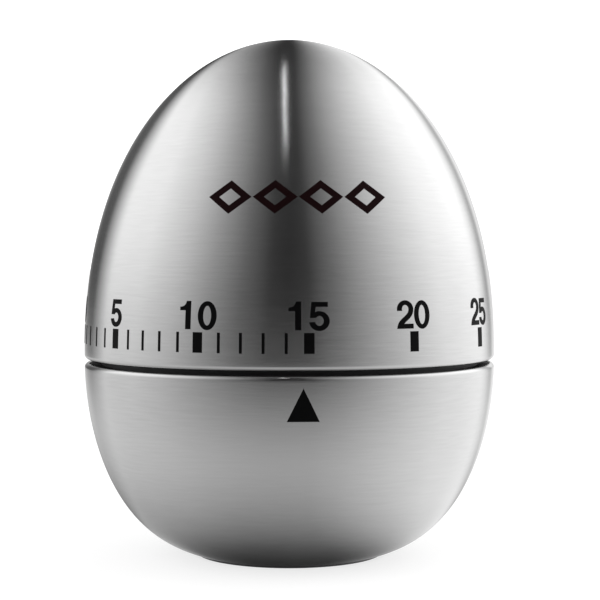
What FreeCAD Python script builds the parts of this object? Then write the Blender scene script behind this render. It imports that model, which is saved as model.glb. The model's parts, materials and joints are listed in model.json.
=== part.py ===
import FreeCAD, Part
import math
import os

os.makedirs("parts", exist_ok=True)

# Egg-shaped kitchen timer, in millimetres.  The origin is the middle of the
# resting face, +Z is up, and the pointer on the bowl faces -Y.  The lower half
# is the case.  The upper half is the dial: turning it winds the movement.

# ---- outside form -----------------------------------------------------------
RADIUS = 30.0            # widest radius of the egg
HEIGHT = 75.2            # crown above the resting face
WIDEST_Z = 28.8          # height of the widest plane
DOME = dict(length=HEIGHT - WIDEST_Z, side=1.981, end=2.23, way=1)
BOWL = dict(length=29.6, side=3.483, end=1.924, way=-1)
SPLINE_SPANS = 24        # spans of each outline curve
SPIRAL_SPANS = 16        # spans in each turn of a spiral spring
STEEL = 0.4              # wall of both steel shells
DIAL_EDGE_Z = 28.75      # lower edge of the dial
SEAM_GAP = 0.6           # open gap between dial and case
HEM_RADIUS = 0.7         # rolled edge of the dial shell
LIP_RADIUS = 0.6         # rounded edge of the case shell
FOOT_RADIUS = 14.0       # hole in the case shell that the base plate fills
SCALE_MINUTES = 60.0     # length of the scale
SCALE_TURN = 345.6       # degrees the scale takes up round the dial
REST_MINUTES = 14.75     # what the dial shows as built

# ---- plastic inner parts ----------------------------------------------------
DIAL_WALL = 1.6
CASE_WALL = 1.4
DIAL_CLEARANCE = 0.4     # dial liner to case collar, on the radius
COLLAR_WALL = 1.4
COLLAR_RISE = 3.25       # collar above the dial's lower edge
COLLAR_ROOT = 3.5        # collar starts this far below the case's edge
COLLAR_SLOPE = 1.6       # rise of the slope under the collar
RECESS = 0.2             # black shelf below the case shell's lip
FOOT_RECESS = 0.1        # dial liner's foot below the inside of the rolled edge
HUB_RADIUS = 4.5
HUB_DEPTH = 6.0          # how far the arbor enters the dial's hub
SOCKET_END = 0.5         # space beyond the arbor in the hub
ARBOR_FLAT = 0.72        # flat of the D-shaped arbor, as a share of its radius
RIB_COUNT = 6
RIB_THICKNESS = 1.2
RIB_RISE = 5.0           # ribs start this far above the hub's mouth
BASE_PLATE = 1.5
CASE_FLOOR = 1.5
PLATE_EASE = 0.1         # base plate in its hole
PLATE_CHAMFER = 0.2
MERGE = 0.5              # how far bosses run into the wall behind them
BOSS_RADIUS = 2.5
BOSS_INSET = 3.7         # boss centres inside the case liner, at the plate
BOSS_ANGLES = (80.0, 190.0, 325.0)
BASE_SCREW_ANGLES = (30.0, 150.0, 270.0)
BASE_SCREW_RING = 10.0
BASE_BOSS = 2.0          # height and radius of the small bosses on the case floor
SCREW_SINK = 0.3         # heads of the base screws below the plate
SCREW_ROOM = 0.1         # empty depth of a screw hole past the screw
CROSS_REACH = 0.9        # cross recess, from its middle
CROSS = 0.4              # width and depth of the cross recess
SLOT_RINGS = (4.6, 6.8)  # inner radii of the sound slots
SLOT_WIDTH = 1.2
SLOTS = 3                # in each ring
SLOT_BRIDGE = 8.0        # half of the web between slots, in degrees

# ---- bell -------------------------------------------------------------------
BELL_RADIUS = 18.9
BELL_WALL = 0.7
BELL_HEIGHT = 8.0
BELL_CORNER = 4.0
BELL_STAND = 2.5         # post shoulder above the case floor
STUD_RADIUS = 1.25
POST_FOOT = dict(radius=3.4, height=0.8)
POST_SHOULDER = 2.2
NUT_ROOM = 2.6           # stud above the bell's floor
BELL_NUT = dict(flats=5.0, height=1.8)
HAMMER_RADIUS = 2.5
HAMMER_GAP = 0.5         # hammer head to bell at rest
HAMMER_ANGLE = -130.0
HEAD_CHAMFER = 0.4
HEAD_LIFT = 0.5          # hammer head above the bell's round corner
ARM = 1.0                # thickness of the hammer arm
ARM_WIDTH = 2.0
ARM_DROP = 1.3           # underside of the arm below the back plate

# ---- movement ---------------------------------------------------------------
MOVEMENT_Z = 16.0        # underside of the back plate
PLATE = 1.0
PLATE_MARGIN = 1.2       # plate rim to case liner collar
PILLAR_RADIUS = 1.2
PILLAR_STUD = 0.8
PILLAR_ANGLES = (22.0, 135.0, 215.0, 310.0)
NUT_HEIGHT = 1.4
NUT_FLATS = 3.2
SCREW_RADIUS = 0.9
SCREW_HEAD = 1.8
SCREW_HEAD_HEIGHT = 0.9
SCREW_SLOT = 0.5
SCREW_DEPTH = 5.0
PILLAR_INSET = 0.5       # pillars from the plates' rim
THREAD_END = 0.2         # pillar thread past its nut
AIR = 0.6                # space between one level of wheels and the next
RUNNING_FIT = 0.05       # radial play of pivots and of what turns on an arbor
END_PLAY = 0.2           # between a shoulder and the face beside it
MAIN_ARBOR = 2.5         # radius, like those below
MAIN_PIVOT = 1.5
MAIN_FLANGE = 0.8        # flange under the barrel, wider than the arbor by this
MAIN_TAIL = 1.2          # pivot below the back plate
HUB_WALL = 1.3
PIVOT = 0.4
PIVOT_SHORT = 0.1        # train pivots end below the plates' outer faces
CLIP = 0.4               # thickness of the spring clips
CLIP_WIDTH = 1.1
CLIP_MOUTH = 50.0        # opening of a spring clip, in degrees
GROOVE = 0.3             # depth of the main arbor's clip groove
GROOVE_DROP = 0.7        # groove below the back plate
CLIP_EASE = 0.03
WHEEL = 0.9              # thickness of the train wheels
PINION_EXTRA = 0.4       # pinion face beyond its wheel on each side
BARREL_HEIGHT = 6.2
BARREL_FLANGE = 1.2
BARREL_SHEET = 0.6
RATCHET = 0.8
RATCHET_RADIUS = 5.0
RATCHET_TEETH = 12
RATCHET_DEPTH = 0.8
CLICK_RING = 7.6         # click pivot from the dial's axis
CLICK = 1.1              # width of the click
CLICK_EYE = 1.5
CLICK_PIVOT = 0.8
CLICK_LIFT = 0.05        # click above the great wheel's face
CLICK_ANGLE = 38.0       # direction of the click's nose
CLICK_GAP = 0.2          # nose to ratchet teeth
CLICK_SPRING = 0.3

# ---- gear train: teeth of each wheel, leaves of the pinion it drives ---------
GREAT = dict(teeth=48, leaves=8, module=0.5)
SECOND = dict(teeth=45, leaves=9, module=0.8 * GREAT["module"])
THIRD = dict(teeth=48, leaves=8, module=0.64 * GREAT["module"])
FOURTH = dict(teeth=40, leaves=10, module=0.6 * GREAT["module"])
ARBOR = 1.8 * GREAT["module"]            # radius, slim enough for the smallest pinion
BARREL_TEETH = 60
ALARM_LEAVES = 8
WHEEL_TOOTH = dict(share=0.46, tip=1.0, root=1.3)
LEAF_TOOTH = dict(share=0.34, tip=0.6, root=1.35)
OGIVE = ((0.55, 0.866), (1.0, 0.417))    # height and half width of the tip, as shares
RIM_DEPTH = 3.2          # pitch line to the inside of the rim, in modules
WHEEL_HUB = 1.4          # hub beyond the arbor, on the radius
SPOKE = 1.6
GREAT_SPOKE = 3.4
ALARM_EASE = 0.2         # great wheel's teeth to the alarm arbor
SECOND_BEARING = 0.0     # directions from one arbor to the next
THIRD_BEARING = 103.9
FOURTH_BEARING = 139.1
ESCAPE_BEARING = 164.9
STAFF_BEARING = 218.5
ALARM_BEARING = -60.0
HAMMER_BEARING = 240.0

# ---- escapement and alarm kick: pointed wheels with two pins each -----------
ESCAPE_TEETH = 16
ESCAPE_RADIUS = 4.0
ESCAPE_SPAN = 1.75       # pins lie this many teeth either side of the middle
ESCAPE_PIN = 0.18
ESCAPE_PHASE = 0.5       # at rest a gap faces the staff: share of a tooth's pitch
ALARM_TEETH = 10
ALARM_RADIUS = 3.2
ALARM_SPAN = 1.25
ALARM_PIN = 0.3
PIN_EASE = 0.1           # pins outside the tooth tips at mid swing
POINT_DEPTH = 0.24       # depth of the pointed teeth, as a share of the radius
POINT_FOOT = 0.2         # half width of a tooth's foot and tip, in pitches
POINT_TIP = 0.03
ANCHOR = 0.6
ANCHOR_HUB = 0.8         # hub beyond the staff, on the radius
ANCHOR_EDGE = 0.35       # arm beyond the pin, on each side
BALANCE_RADIUS = 6.5
BALANCE_RIM = 0.8
BALANCE_HEIGHT = 1.2
BALANCE_ARM = 65.0       # direction of the arm
BALANCE_HUB = 1.7
ARM_INSET = 0.3          # arm thinner than the rim on each face
COCK_REACH = 9.5         # cock foot from the balance staff
COCK_BEARING = 20.0
COCK_FOOT = 2.4
COCK = 1.0
STAFF = 0.8
STAFF_ROOM = 0.5         # hole in the front plate round the staff
HAIRSPRING_RADIUS = 4.8
HAIRSPRING_TURNS = 5
HAIRSPRING = 0.6         # width of the strip
HAIRSPRING_STRIP = 0.12
COLLET = 0.5
HAIRSPRING_STUD = 0.45
MAINSPRING_TURNS = 8
MAINSPRING_STRIP = 0.4

# ---- release lever ----------------------------------------------------------
CAM_RADIUS = 9.0
CAM = 1.2
CAM_NOTCH = 1.6
CAM_HUB = 4.0
CAM_STAND = 1.0          # cam above the front plate
NOTCH_EASE = 0.8         # notch wider than the lever's nose
LEVER_RING = 17.0
LEVER_ANGLE = -125.0
LEVER = 0.8
LEVER_WIDTH = 1.2
NOSE_ANGLE = -160.0
NOSE_GAP = 0.12
STOP_GAP = 1.0
CRANK_REACH = 3.5
CRANK_WIDTH = 1.0
CRANK_HUB = 0.9
LEVER_STUD = 1.0
LEVER_EYE = 1.1          # eye beyond its stud, on the radius
LEVER_GROOVE = 0.25
SPRING_LEG = dict(reach=6.0, coil_angle=150.0, end_angle=105.0)
SPRING_FOOT = dict(reach=5.0, coil_angle=230.0, end_angle=200.0)
SPRING_COIL = 0.7        # height of the lever spring's coil
SPRING_WIRE = 0.4

# ---- levels, built up from one another --------------------------------------
CASE_EDGE_Z = DIAL_EDGE_Z - SEAM_GAP
FLOOR_Z = BASE_PLATE + CASE_FLOOR
BELL_Z = FLOOR_Z + BELL_STAND
BACK_TOP_Z = MOVEMENT_Z + PLATE
BARREL_Z = BACK_TOP_Z + AIR + END_PLAY
GREAT_Z = BARREL_Z + BARREL_HEIGHT + AIR + PINION_EXTRA
RATCHET_Z = GREAT_Z + WHEEL
SECOND_Z = RATCHET_Z + RATCHET + AIR
THIRD_Z = SECOND_Z + WHEEL + PINION_EXTRA + AIR + PINION_EXTRA
ANCHOR_Z = THIRD_Z + WHEEL + PINION_EXTRA
ALARM_ANCHOR_Z = SECOND_Z + WHEEL + PINION_EXTRA
FRONT_Z = ANCHOR_Z + AIR + AIR + PINION_EXTRA
FRONT_TOP_Z = FRONT_Z + PLATE
CAM_Z = FRONT_TOP_Z + CAM_STAND
LEVER_Z = CAM_Z + (CAM - LEVER) / 2
BALANCE_Z = CAM_Z + CAM + AIR
HAIRSPRING_Z = BALANCE_Z + BALANCE_HEIGHT + AIR + END_PLAY
COCK_Z = HAIRSPRING_Z + HAIRSPRING + AIR + END_PLAY
HUB_Z = COCK_Z + COCK + SCREW_HEAD_HEIGHT + AIR
ARBOR_TOP_Z = HUB_Z + HUB_DEPTH
ARM_Z = MOVEMENT_Z - ARM_DROP
SPRING_Z = LEVER_Z + LEVER + END_PLAY / 2
CLICK_Z = RATCHET_Z + CLICK_LIFT


def vec(x, y, z=0.0):
    return FreeCAD.Vector(x, y, z)


def polar(radius, degrees, centre=(0.0, 0.0)):
    """Plan position at a distance and direction from a centre."""
    angle = math.radians(degrees)
    return (centre[0] + radius * math.cos(angle), centre[1] + radius * math.sin(angle))


def cylinder(radius, z_low, z_high, at=(0.0, 0.0)):
    return Part.makeCylinder(radius, z_high - z_low, vec(at[0], at[1], z_low))


def ring(outer, inner, z_low, z_high, at=(0.0, 0.0)):
    return cylinder(outer, z_low, z_high, at).cut(cylinder(inner, z_low, z_high, at))


def cone(r_low, r_high, z_low, z_high, at=(0.0, 0.0)):
    return Part.makeCone(r_low, r_high, z_high - z_low, vec(at[0], at[1], z_low))


def box(x_low, x_high, y_low, y_high, z_low, z_high):
    size = (x_high - x_low, y_high - y_low, z_high - z_low)
    return Part.makeBox(*size, vec(x_low, y_low, z_low))


def line(start, end):
    return Part.LineSegment(start, end).toShape()


def arc(start, middle, end):
    return Part.Arc(start, middle, end).toShape()


def extrude(edges, z_low, z_high):
    """Prism over a closed outline that is drawn in the plane z = 0."""
    face = Part.Face(Part.Wire(edges))
    face.translate(vec(0, 0, z_low))
    return face.extrude(vec(0, 0, z_high - z_low))


def revolve(edges):
    """Solid of revolution of a closed outline drawn in the XZ plane."""
    return Part.Face(Part.Wire(edges)).revolve(vec(0, 0, 0), vec(0, 0, 1), 360)


def polyline(points):
    """Straight edges through points, in order."""
    return [line(a, b) for a, b in zip(points, points[1:])]


def rz(points):
    """Profile points from pairs of radius and height."""
    return [vec(r, 0, z) for r, z in points]


def bar(start, end, width, z_low, z_high):
    """Flat bar with round ends, from one centre to another."""
    run = math.degrees(math.atan2(end[1] - start[1], end[0] - start[0]))
    corners = [
        polar(width / 2, run + 90, start),
        polar(width / 2, run + 180, start),
        polar(width / 2, run - 90, start),
        polar(width / 2, run - 90, end),
        polar(width / 2, run, end),
        polar(width / 2, run + 90, end),
    ]
    p = [vec(*corner) for corner in corners]
    return extrude([arc(p[0], p[1], p[2]), line(p[2], p[3]), arc(p[3], p[4], p[5]), line(p[5], p[0])],
                   z_low, z_high)


def arc_slot(inner, outer, start, end, z_low, z_high, at=(0.0, 0.0)):
    """Sector of a ring between two directions."""
    middle = (start + end) / 2
    p = [vec(*polar(r, a, at)) for r in (inner, outer) for a in (start, middle, end)]
    return extrude([arc(p[0], p[1], p[2]), line(p[2], p[5]), arc(p[5], p[4], p[3]), line(p[3], p[0])],
                   z_low, z_high)


def hexagon(flats, z_low, z_high, at):
    corners = [vec(*polar(flats / math.sqrt(3), 60 * k, at)) for k in range(7)]
    return extrude(polyline(corners), z_low, z_high)


def spring_clip(inner, z_low, at=(0.0, 0.0), opening=200.0):
    """Flat open ring that snaps into a groove."""
    outer = inner + CLIP_WIDTH
    half = CLIP_MOUTH / 2
    mouth = arc_slot(inner / 2, outer + 1, opening - half, opening + half, z_low, z_low + CLIP, at)
    return ring(outer, inner, z_low, z_low + CLIP, at).cut(mouth)


# ---- outline of the egg: (r/a)^side + (h/b)^end = 1 on each half --------------

def egg_point(half, inset, angle):
    """Radius and height on a half of the egg; 0 is the widest plane, 90 the pole."""
    r = (RADIUS - inset) * abs(math.cos(angle)) ** (2 / half["side"])
    h = (half["length"] - inset) * math.sin(angle) ** (2 / half["end"])
    return vec(r, 0, WIDEST_Z + half["way"] * h)


def angle_at_height(half, inset, z):
    share = abs(z - WIDEST_Z) / (half["length"] - inset)
    return math.asin(share ** (half["end"] / 2))


def angle_at_radius(half, inset, r):
    return math.acos((r / (RADIUS - inset)) ** (half["side"] / 2))


def egg_edge(half, inset, start, end):
    """Smooth edge along the egg between two angles."""
    turn = (end - start) / SPLINE_SPANS
    points = [egg_point(half, inset, start + turn * k) for k in range(SPLINE_SPANS + 1)]
    nudge = turn * 0.01
    first = egg_point(half, inset, start + nudge) - points[0]
    last = points[-1] - egg_point(half, inset, end - nudge)
    curve = Part.BSplineCurve()
    curve.interpolate(Points=points, InitialTangent=first * (1 / first.Length),
                      FinalTangent=last * (1 / last.Length))
    return curve.toShape()


POLE = math.pi / 2
DIAL_ROLL_Z = DIAL_EDGE_Z + HEM_RADIUS
CASE_ROLL_Z = CASE_EDGE_Z - LIP_RADIUS
DIAL_RIM = egg_point(DOME, 0, angle_at_height(DOME, 0, DIAL_ROLL_Z)).x
CASE_RIM = egg_point(BOWL, 0, angle_at_height(BOWL, 0, CASE_ROLL_Z)).x
DIAL_FOOT_RADIUS = DIAL_RIM - HEM_RADIUS
CASE_SHELF_RADIUS = CASE_RIM - LIP_RADIUS
COLLAR_RADIUS = RADIUS - STEEL - DIAL_WALL - DIAL_CLEARANCE
COLLAR_INNER = COLLAR_RADIUS - COLLAR_WALL
COLLAR_TOP_Z = DIAL_EDGE_Z + COLLAR_RISE
PLATE_RADIUS = COLLAR_INNER - PLATE_MARGIN
BOSS_RING = COLLAR_INNER - BOSS_INSET
PILLAR_RING = PLATE_RADIUS - PILLAR_RADIUS - PILLAR_INSET
ZERO_TURN = REST_MINUTES * SCALE_TURN / SCALE_MINUTES
BOSSES_AT = [polar(BOSS_RING, a) for a in BOSS_ANGLES]
BASE_SCREWS_AT = [polar(BASE_SCREW_RING, a) for a in BASE_SCREW_ANGLES]
BASE_SCREW_TOP_Z = FLOOR_Z + BASE_BOSS - MERGE


def rolled_edge(rim, roll_z, radius, way):
    """Quarter turn of steel inwards from the rim: outer arc, end, inner arc."""
    lean = math.sqrt(0.5)
    centre = rim - radius
    inner = radius - STEEL
    return rz([
        (rim, roll_z),
        (centre + radius * lean, roll_z + way * radius * lean),
        (centre, roll_z + way * radius),
        (centre, roll_z + way * inner),
        (centre + inner * lean, roll_z + way * inner * lean),
    ])


def dial_shell():
    """Steel dome with its lower edge rolled inwards."""
    top = angle_at_height(DOME, 0, DIAL_ROLL_Z)
    inside = angle_at_height(DOME, STEEL, DIAL_ROLL_Z)
    p = rolled_edge(DIAL_RIM, DIAL_ROLL_Z, HEM_RADIUS, -1)
    inner_rim = egg_point(DOME, STEEL, inside)
    return revolve([
        egg_edge(DOME, 0, top, POLE),
        line(egg_point(DOME, 0, POLE), egg_point(DOME, STEEL, POLE)),
        egg_edge(DOME, STEEL, inside, POLE),
        arc(inner_rim, p[4], p[3]),
        line(p[3], p[2]),
        arc(p[2], p[1], p[0]),
    ])


def dome_solid(inset, z_low):
    """Solid dome inside the given inset, cut off flat below."""
    start = angle_at_height(DOME, inset, z_low)
    rim = egg_point(DOME, inset, start)
    return revolve([
        egg_edge(DOME, inset, start, POLE),
        line(egg_point(DOME, inset, POLE), vec(0, 0, z_low)),
        line(vec(0, 0, z_low), rim),
    ])


def dial_liner():
    """Plastic dome glued in the dial shell, with a ribbed hub for the arbor."""
    outer = angle_at_height(DOME, STEEL, DIAL_ROLL_Z)
    foot_z = DIAL_EDGE_Z + STEEL - FOOT_RECESS
    inset = STEEL + DIAL_WALL
    inner = angle_at_height(DOME, inset, foot_z)
    inner_rim = egg_point(DOME, inset, inner)
    foot = [egg_point(DOME, STEEL, outer)] + rz([
        (DIAL_FOOT_RADIUS, DIAL_ROLL_Z),
        (DIAL_FOOT_RADIUS, foot_z),
    ]) + [inner_rim]
    wall = revolve([
        egg_edge(DOME, STEEL, outer, POLE),
        line(egg_point(DOME, STEEL, POLE), egg_point(DOME, inset, POLE)),
        egg_edge(DOME, inset, inner, POLE),
    ] + polyline(foot))
    hub = cylinder(HUB_RADIUS, HUB_Z, HEIGHT)
    rib = box(0, RADIUS, -RIB_THICKNESS / 2, RIB_THICKNESS / 2, HUB_Z + RIB_RISE, HEIGHT)
    ribs = [rib.rotated(vec(0, 0, 0), vec(0, 0, 1), k * 360 / RIB_COUNT) for k in range(RIB_COUNT)]
    core = hub.multiFuse(ribs).common(dome_solid(inset - DIAL_WALL / 2, DIAL_ROLL_Z))
    socket = d_shaft(MAIN_ARBOR + RUNNING_FIT / 2, HUB_Z, ARBOR_TOP_Z + SOCKET_END)
    return wall.fuse(core).cut(socket).removeSplitter()


def d_shaft(radius, z_low, z_high):
    """Round shaft with one flat, for the dial's hub."""
    flat = radius * ARBOR_FLAT
    return cylinder(radius, z_low, z_high).cut(box(flat, radius + 1, -radius, radius, z_low, z_high))


def case_shell():
    """Steel bowl with a rounded lip, open below for the base plate."""
    low = angle_at_radius(BOWL, 0, FOOT_RADIUS)
    high = angle_at_height(BOWL, 0, CASE_ROLL_Z)
    low_in = angle_at_radius(BOWL, STEEL, FOOT_RADIUS)
    high_in = angle_at_height(BOWL, STEEL, CASE_ROLL_Z)
    p = rolled_edge(CASE_RIM, CASE_ROLL_Z, LIP_RADIUS, 1)
    return revolve([
        egg_edge(BOWL, 0, high, low),
        line(egg_point(BOWL, 0, low), egg_point(BOWL, STEEL, low_in)),
        egg_edge(BOWL, STEEL, high_in, low_in),
        arc(egg_point(BOWL, STEEL, high_in), p[4], p[3]),
        line(p[3], p[2]),
        arc(p[2], p[1], p[0]),
    ])


def bowl_solid(inset, z_low, z_high):
    """Solid bowl inside the given inset, cut off flat above and below."""
    high = angle_at_height(BOWL, inset, z_high)
    low = angle_at_height(BOWL, inset, z_low)
    return revolve([
        egg_edge(BOWL, inset, high, low),
        line(egg_point(BOWL, inset, low), vec(0, 0, z_low)),
        line(vec(0, 0, z_low), vec(0, 0, z_high)),
        line(vec(0, 0, z_high), egg_point(BOWL, inset, high)),
    ])


def sound_slots(z_low, z_high):
    """Two rings of curved slots that let the bell's sound out."""
    slots = []
    pitch = 360 / SLOTS
    for inner in SLOT_RINGS:
        for k in range(SLOTS):
            start = pitch * (k + 0.5)
            slots.append(arc_slot(inner, inner + SLOT_WIDTH, start + SLOT_BRIDGE,
                                  start + pitch - SLOT_BRIDGE, z_low, z_high))
    return slots


def case_liner():
    """Plastic cup in the case shell: floor, screw bosses, and the black collar."""
    inset = STEEL + CASE_WALL
    outer_low = angle_at_radius(BOWL, STEEL, FOOT_RADIUS)
    outer_high = angle_at_height(BOWL, STEEL, CASE_ROLL_Z)
    inner_low = angle_at_height(BOWL, inset, FLOOR_Z)
    turn_in_z = CASE_EDGE_Z - COLLAR_ROOT
    inner_high = angle_at_height(BOWL, inset, turn_in_z)
    shelf_z = CASE_EDGE_Z - RECESS
    top = [egg_point(BOWL, STEEL, outer_high)] + rz([
        (CASE_SHELF_RADIUS, CASE_ROLL_Z),
        (CASE_SHELF_RADIUS, shelf_z),
        (COLLAR_RADIUS, shelf_z),
        (COLLAR_RADIUS, COLLAR_TOP_Z),
        (COLLAR_INNER, COLLAR_TOP_Z),
        (COLLAR_INNER, turn_in_z + COLLAR_SLOPE),
    ]) + [egg_point(BOWL, inset, inner_high)]
    floor = [egg_point(BOWL, inset, inner_low)] + rz([
        (0, FLOOR_Z),
        (0, BASE_PLATE),
        (FOOT_RADIUS, BASE_PLATE),
    ]) + [egg_point(BOWL, STEEL, outer_low)]
    cup = revolve([egg_edge(BOWL, STEEL, outer_high, outer_low)] + polyline(top)
                  + [egg_edge(BOWL, inset, inner_high, inner_low)] + polyline(floor))
    body = cup.multiFuse(case_bosses())
    return body.cut(Part.makeCompound(case_holes() + sound_slots(BASE_PLATE, FLOOR_Z)))


def case_bosses():
    """Tall bosses for the movement and low ones for the base plate."""
    inside = bowl_solid(STEEL + CASE_WALL / 2, FLOOR_Z - MERGE, MOVEMENT_Z)
    tall = [cylinder(BOSS_RADIUS, FLOOR_Z - MERGE, MOVEMENT_Z, at).common(inside) for at in BOSSES_AT]
    low = [cylinder(BASE_BOSS, FLOOR_Z - MERGE, FLOOR_Z + BASE_BOSS, at) for at in BASE_SCREWS_AT]
    return tall + low


def case_holes():
    """Screw holes in the bosses."""
    tall = [cylinder(SCREW_RADIUS, MOVEMENT_Z - SCREW_DEPTH, MOVEMENT_Z, at) for at in BOSSES_AT]
    low = [cylinder(SCREW_RADIUS, BASE_PLATE, BASE_SCREW_TOP_Z + SCREW_ROOM, at) for at in BASE_SCREWS_AT]
    return tall + low


def base_plate():
    """Black foot of the timer, flush with the case, with sound slots."""
    rim = FOOT_RADIUS - PLATE_EASE
    edge = cone(rim - PLATE_CHAMFER, rim, 0, PLATE_CHAMFER)
    disc = cylinder(rim, PLATE_CHAMFER, BASE_PLATE).fuse(edge)
    seats = []
    for at in BASE_SCREWS_AT:
        seats.append(cylinder(SCREW_RADIUS, 0, BASE_PLATE, at))
        seats.append(cylinder(SCREW_HEAD, 0, SCREW_SINK, at))
        seats.append(countersink(at))
    return disc.cut(Part.makeCompound(seats + sound_slots(0, BASE_PLATE)))


def countersink(at):
    """Cone of a countersunk head, one to one."""
    return cone(SCREW_HEAD, SCREW_RADIUS, SCREW_SINK, SCREW_SINK + SCREW_HEAD - SCREW_RADIUS, at)


def cross_recess(at):
    low, high = SCREW_SINK, SCREW_SINK + CROSS
    along = bar(polar(CROSS_REACH, 0, at), polar(CROSS_REACH, 180, at), CROSS, low, high)
    return along.fuse(bar(polar(CROSS_REACH, 90, at), polar(CROSS_REACH, 270, at), CROSS, low, high))


def base_plate_screws():
    """Three countersunk screws from below into the case floor."""
    screws = []
    for at in BASE_SCREWS_AT:
        shank = cylinder(SCREW_RADIUS, SCREW_SINK, BASE_SCREW_TOP_Z, at)
        screws.append(countersink(at).fuse(shank).cut(cross_recess(at)))
    return Part.makeCompound(screws)


# ---- bell and its fixing ----------------------------------------------------

def bell():
    """Steel cup bell that opens upwards."""
    lean = math.sqrt(0.5)
    inner = BELL_RADIUS - BELL_WALL
    knee = BELL_RADIUS - BELL_CORNER
    bend = BELL_CORNER - BELL_WALL
    p = rz([
        (STUD_RADIUS + RUNNING_FIT, BELL_Z),
        (knee, BELL_Z),
        (knee + BELL_CORNER * lean, BELL_Z + BELL_CORNER * (1 - lean)),
        (BELL_RADIUS, BELL_Z + BELL_CORNER),
        (BELL_RADIUS, BELL_Z + BELL_HEIGHT),
        (inner, BELL_Z + BELL_HEIGHT),
        (inner, BELL_Z + BELL_CORNER),
        (knee + bend * lean, BELL_Z + BELL_CORNER - bend * lean),
        (knee, BELL_Z + BELL_WALL),
        (STUD_RADIUS + RUNNING_FIT, BELL_Z + BELL_WALL),
    ])
    return revolve([
        line(p[0], p[1]),
        arc(p[1], p[2], p[3]),
        line(p[3], p[4]),
        line(p[4], p[5]),
        line(p[5], p[6]),
        arc(p[6], p[7], p[8]),
        line(p[8], p[9]),
        line(p[9], p[0]),
    ])


def bell_post():
    foot = cylinder(POST_FOOT["radius"], FLOOR_Z, FLOOR_Z + POST_FOOT["height"])
    shoulder = cylinder(POST_SHOULDER, FLOOR_Z, BELL_Z)
    return foot.fuse(shoulder).fuse(cylinder(STUD_RADIUS, FLOOR_Z, BELL_Z + BELL_WALL + NUT_ROOM))


def bell_nut():
    low = BELL_Z + BELL_WALL
    high = low + BELL_NUT["height"]
    return hexagon(BELL_NUT["flats"], low, high, (0, 0)).cut(cylinder(STUD_RADIUS, low, high))


# ---- gears ------------------------------------------------------------------

def tooth_ring(teeth, module, tooth, phase):
    """Closed outline of a clock gear: straight flanks, rounded (ogive) tips."""
    pitch_radius = teeth * module / 2
    root = pitch_radius - tooth["root"] * module
    pitch = 360 / teeth
    half = tooth["share"] * pitch / 2
    tip = tooth["tip"] * module
    edges = []
    for k in range(teeth):
        middle = phase + k * pitch
        steps = [(root, 1.0), (pitch_radius, 1.0)]
        steps += [(pitch_radius + rise * tip, width) for rise, width in OGIVE]
        left = [vec(*polar(r, middle - half * w)) for r, w in steps]
        right = [vec(*polar(r, middle + half * w)) for r, w in steps]
        valley = vec(*polar(root, middle + pitch / 2))
        onward = vec(*polar(root, middle + pitch - half))
        edges += [line(left[0], left[1]), arc(left[1], left[2], left[3]), line(left[3], right[3]),
                  arc(right[3], right[2], right[1]), line(right[1], right[0]),
                  arc(right[0], valley, onward)]
    return edges


def gear(teeth, module, tooth, phase, z_low, z_high, at):
    blank = extrude(tooth_ring(teeth, module, tooth, phase), z_low, z_high)
    return blank.translated(vec(at[0], at[1], 0))


def windows(inner, outer, count, spoke, phase, z_low, z_high, at):
    """Openings between the spokes of a wheel; spokes are a fixed width at mid radius."""
    margin = math.degrees(spoke / (inner + outer))
    pitch = 360 / count
    return [arc_slot(inner, outer, phase + k * pitch + margin, phase + (k + 1) * pitch - margin,
                     z_low, z_high, at) for k in range(count)]


def train_wheel(train, phase, z_low, at, bore, spoke=SPOKE, count=4):
    """Spoked wheel of the train on its arbor."""
    z_high = z_low + WHEEL
    blank = gear(train["teeth"], train["module"], WHEEL_TOOTH, phase, z_low, z_high, at)
    rim = (train["teeth"] / 2 - RIM_DEPTH) * train["module"]
    hub = bore + WHEEL_HUB
    holes = windows(hub, rim, count, spoke, 0, z_low, z_high, at)
    return blank.cut(Part.makeCompound(holes + [cylinder(bore, z_low, z_high, at)]))


def pinion_arbor(leaves, module, phase, z_low, z_high, at):
    """Arbor with its pivots in both plates and its pinion cut on it."""
    shaft = cylinder(ARBOR, BACK_TOP_Z + END_PLAY, FRONT_Z - END_PLAY, at)
    pivots = cylinder(PIVOT, MOVEMENT_Z + PIVOT_SHORT, FRONT_TOP_Z - PIVOT_SHORT, at)
    pinion = gear(leaves, module, LEAF_TOOTH, phase, z_low, z_high, at)
    return shaft.fuse(pivots).fuse(pinion)


def mesh_distance(train):
    return (train["teeth"] + train["leaves"]) * train["module"] / 2


def wheel_phase(teeth, bearing):
    """A tooth space of the wheel lies on the line to the pinion."""
    return bearing + 180 / teeth


MAIN = (0.0, 0.0)
SECOND_AT = polar(mesh_distance(GREAT), SECOND_BEARING)
THIRD_AT = polar(mesh_distance(SECOND), THIRD_BEARING, SECOND_AT)
FOURTH_AT = polar(mesh_distance(THIRD), FOURTH_BEARING, THIRD_AT)
ESCAPE_AT = polar(mesh_distance(FOURTH), ESCAPE_BEARING, FOURTH_AT)
GREAT_TIP = (GREAT["teeth"] / 2 + WHEEL_TOOTH["tip"]) * GREAT["module"]
ALARM_DISTANCE = GREAT_TIP + ALARM_EASE + ARBOR
BARREL_MODULE = 2 * ALARM_DISTANCE / (BARREL_TEETH + ALARM_LEAVES)
DRUM_RADIUS = BARREL_MODULE * (BARREL_TEETH / 2 - WHEEL_TOOTH["root"] - 1)
ALARM_AT = polar(ALARM_DISTANCE, ALARM_BEARING)


def pin_ring(radius, pin):
    """Radius from the wheel's centre at which the two pins stand."""
    return radius + pin + PIN_EASE


def pin_staff_distance(radius, pin, span, teeth):
    """Staff distance at which the pins move straight in and out of the teeth."""
    return pin_ring(radius, pin) / math.cos(math.radians(span * 360 / teeth))


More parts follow.
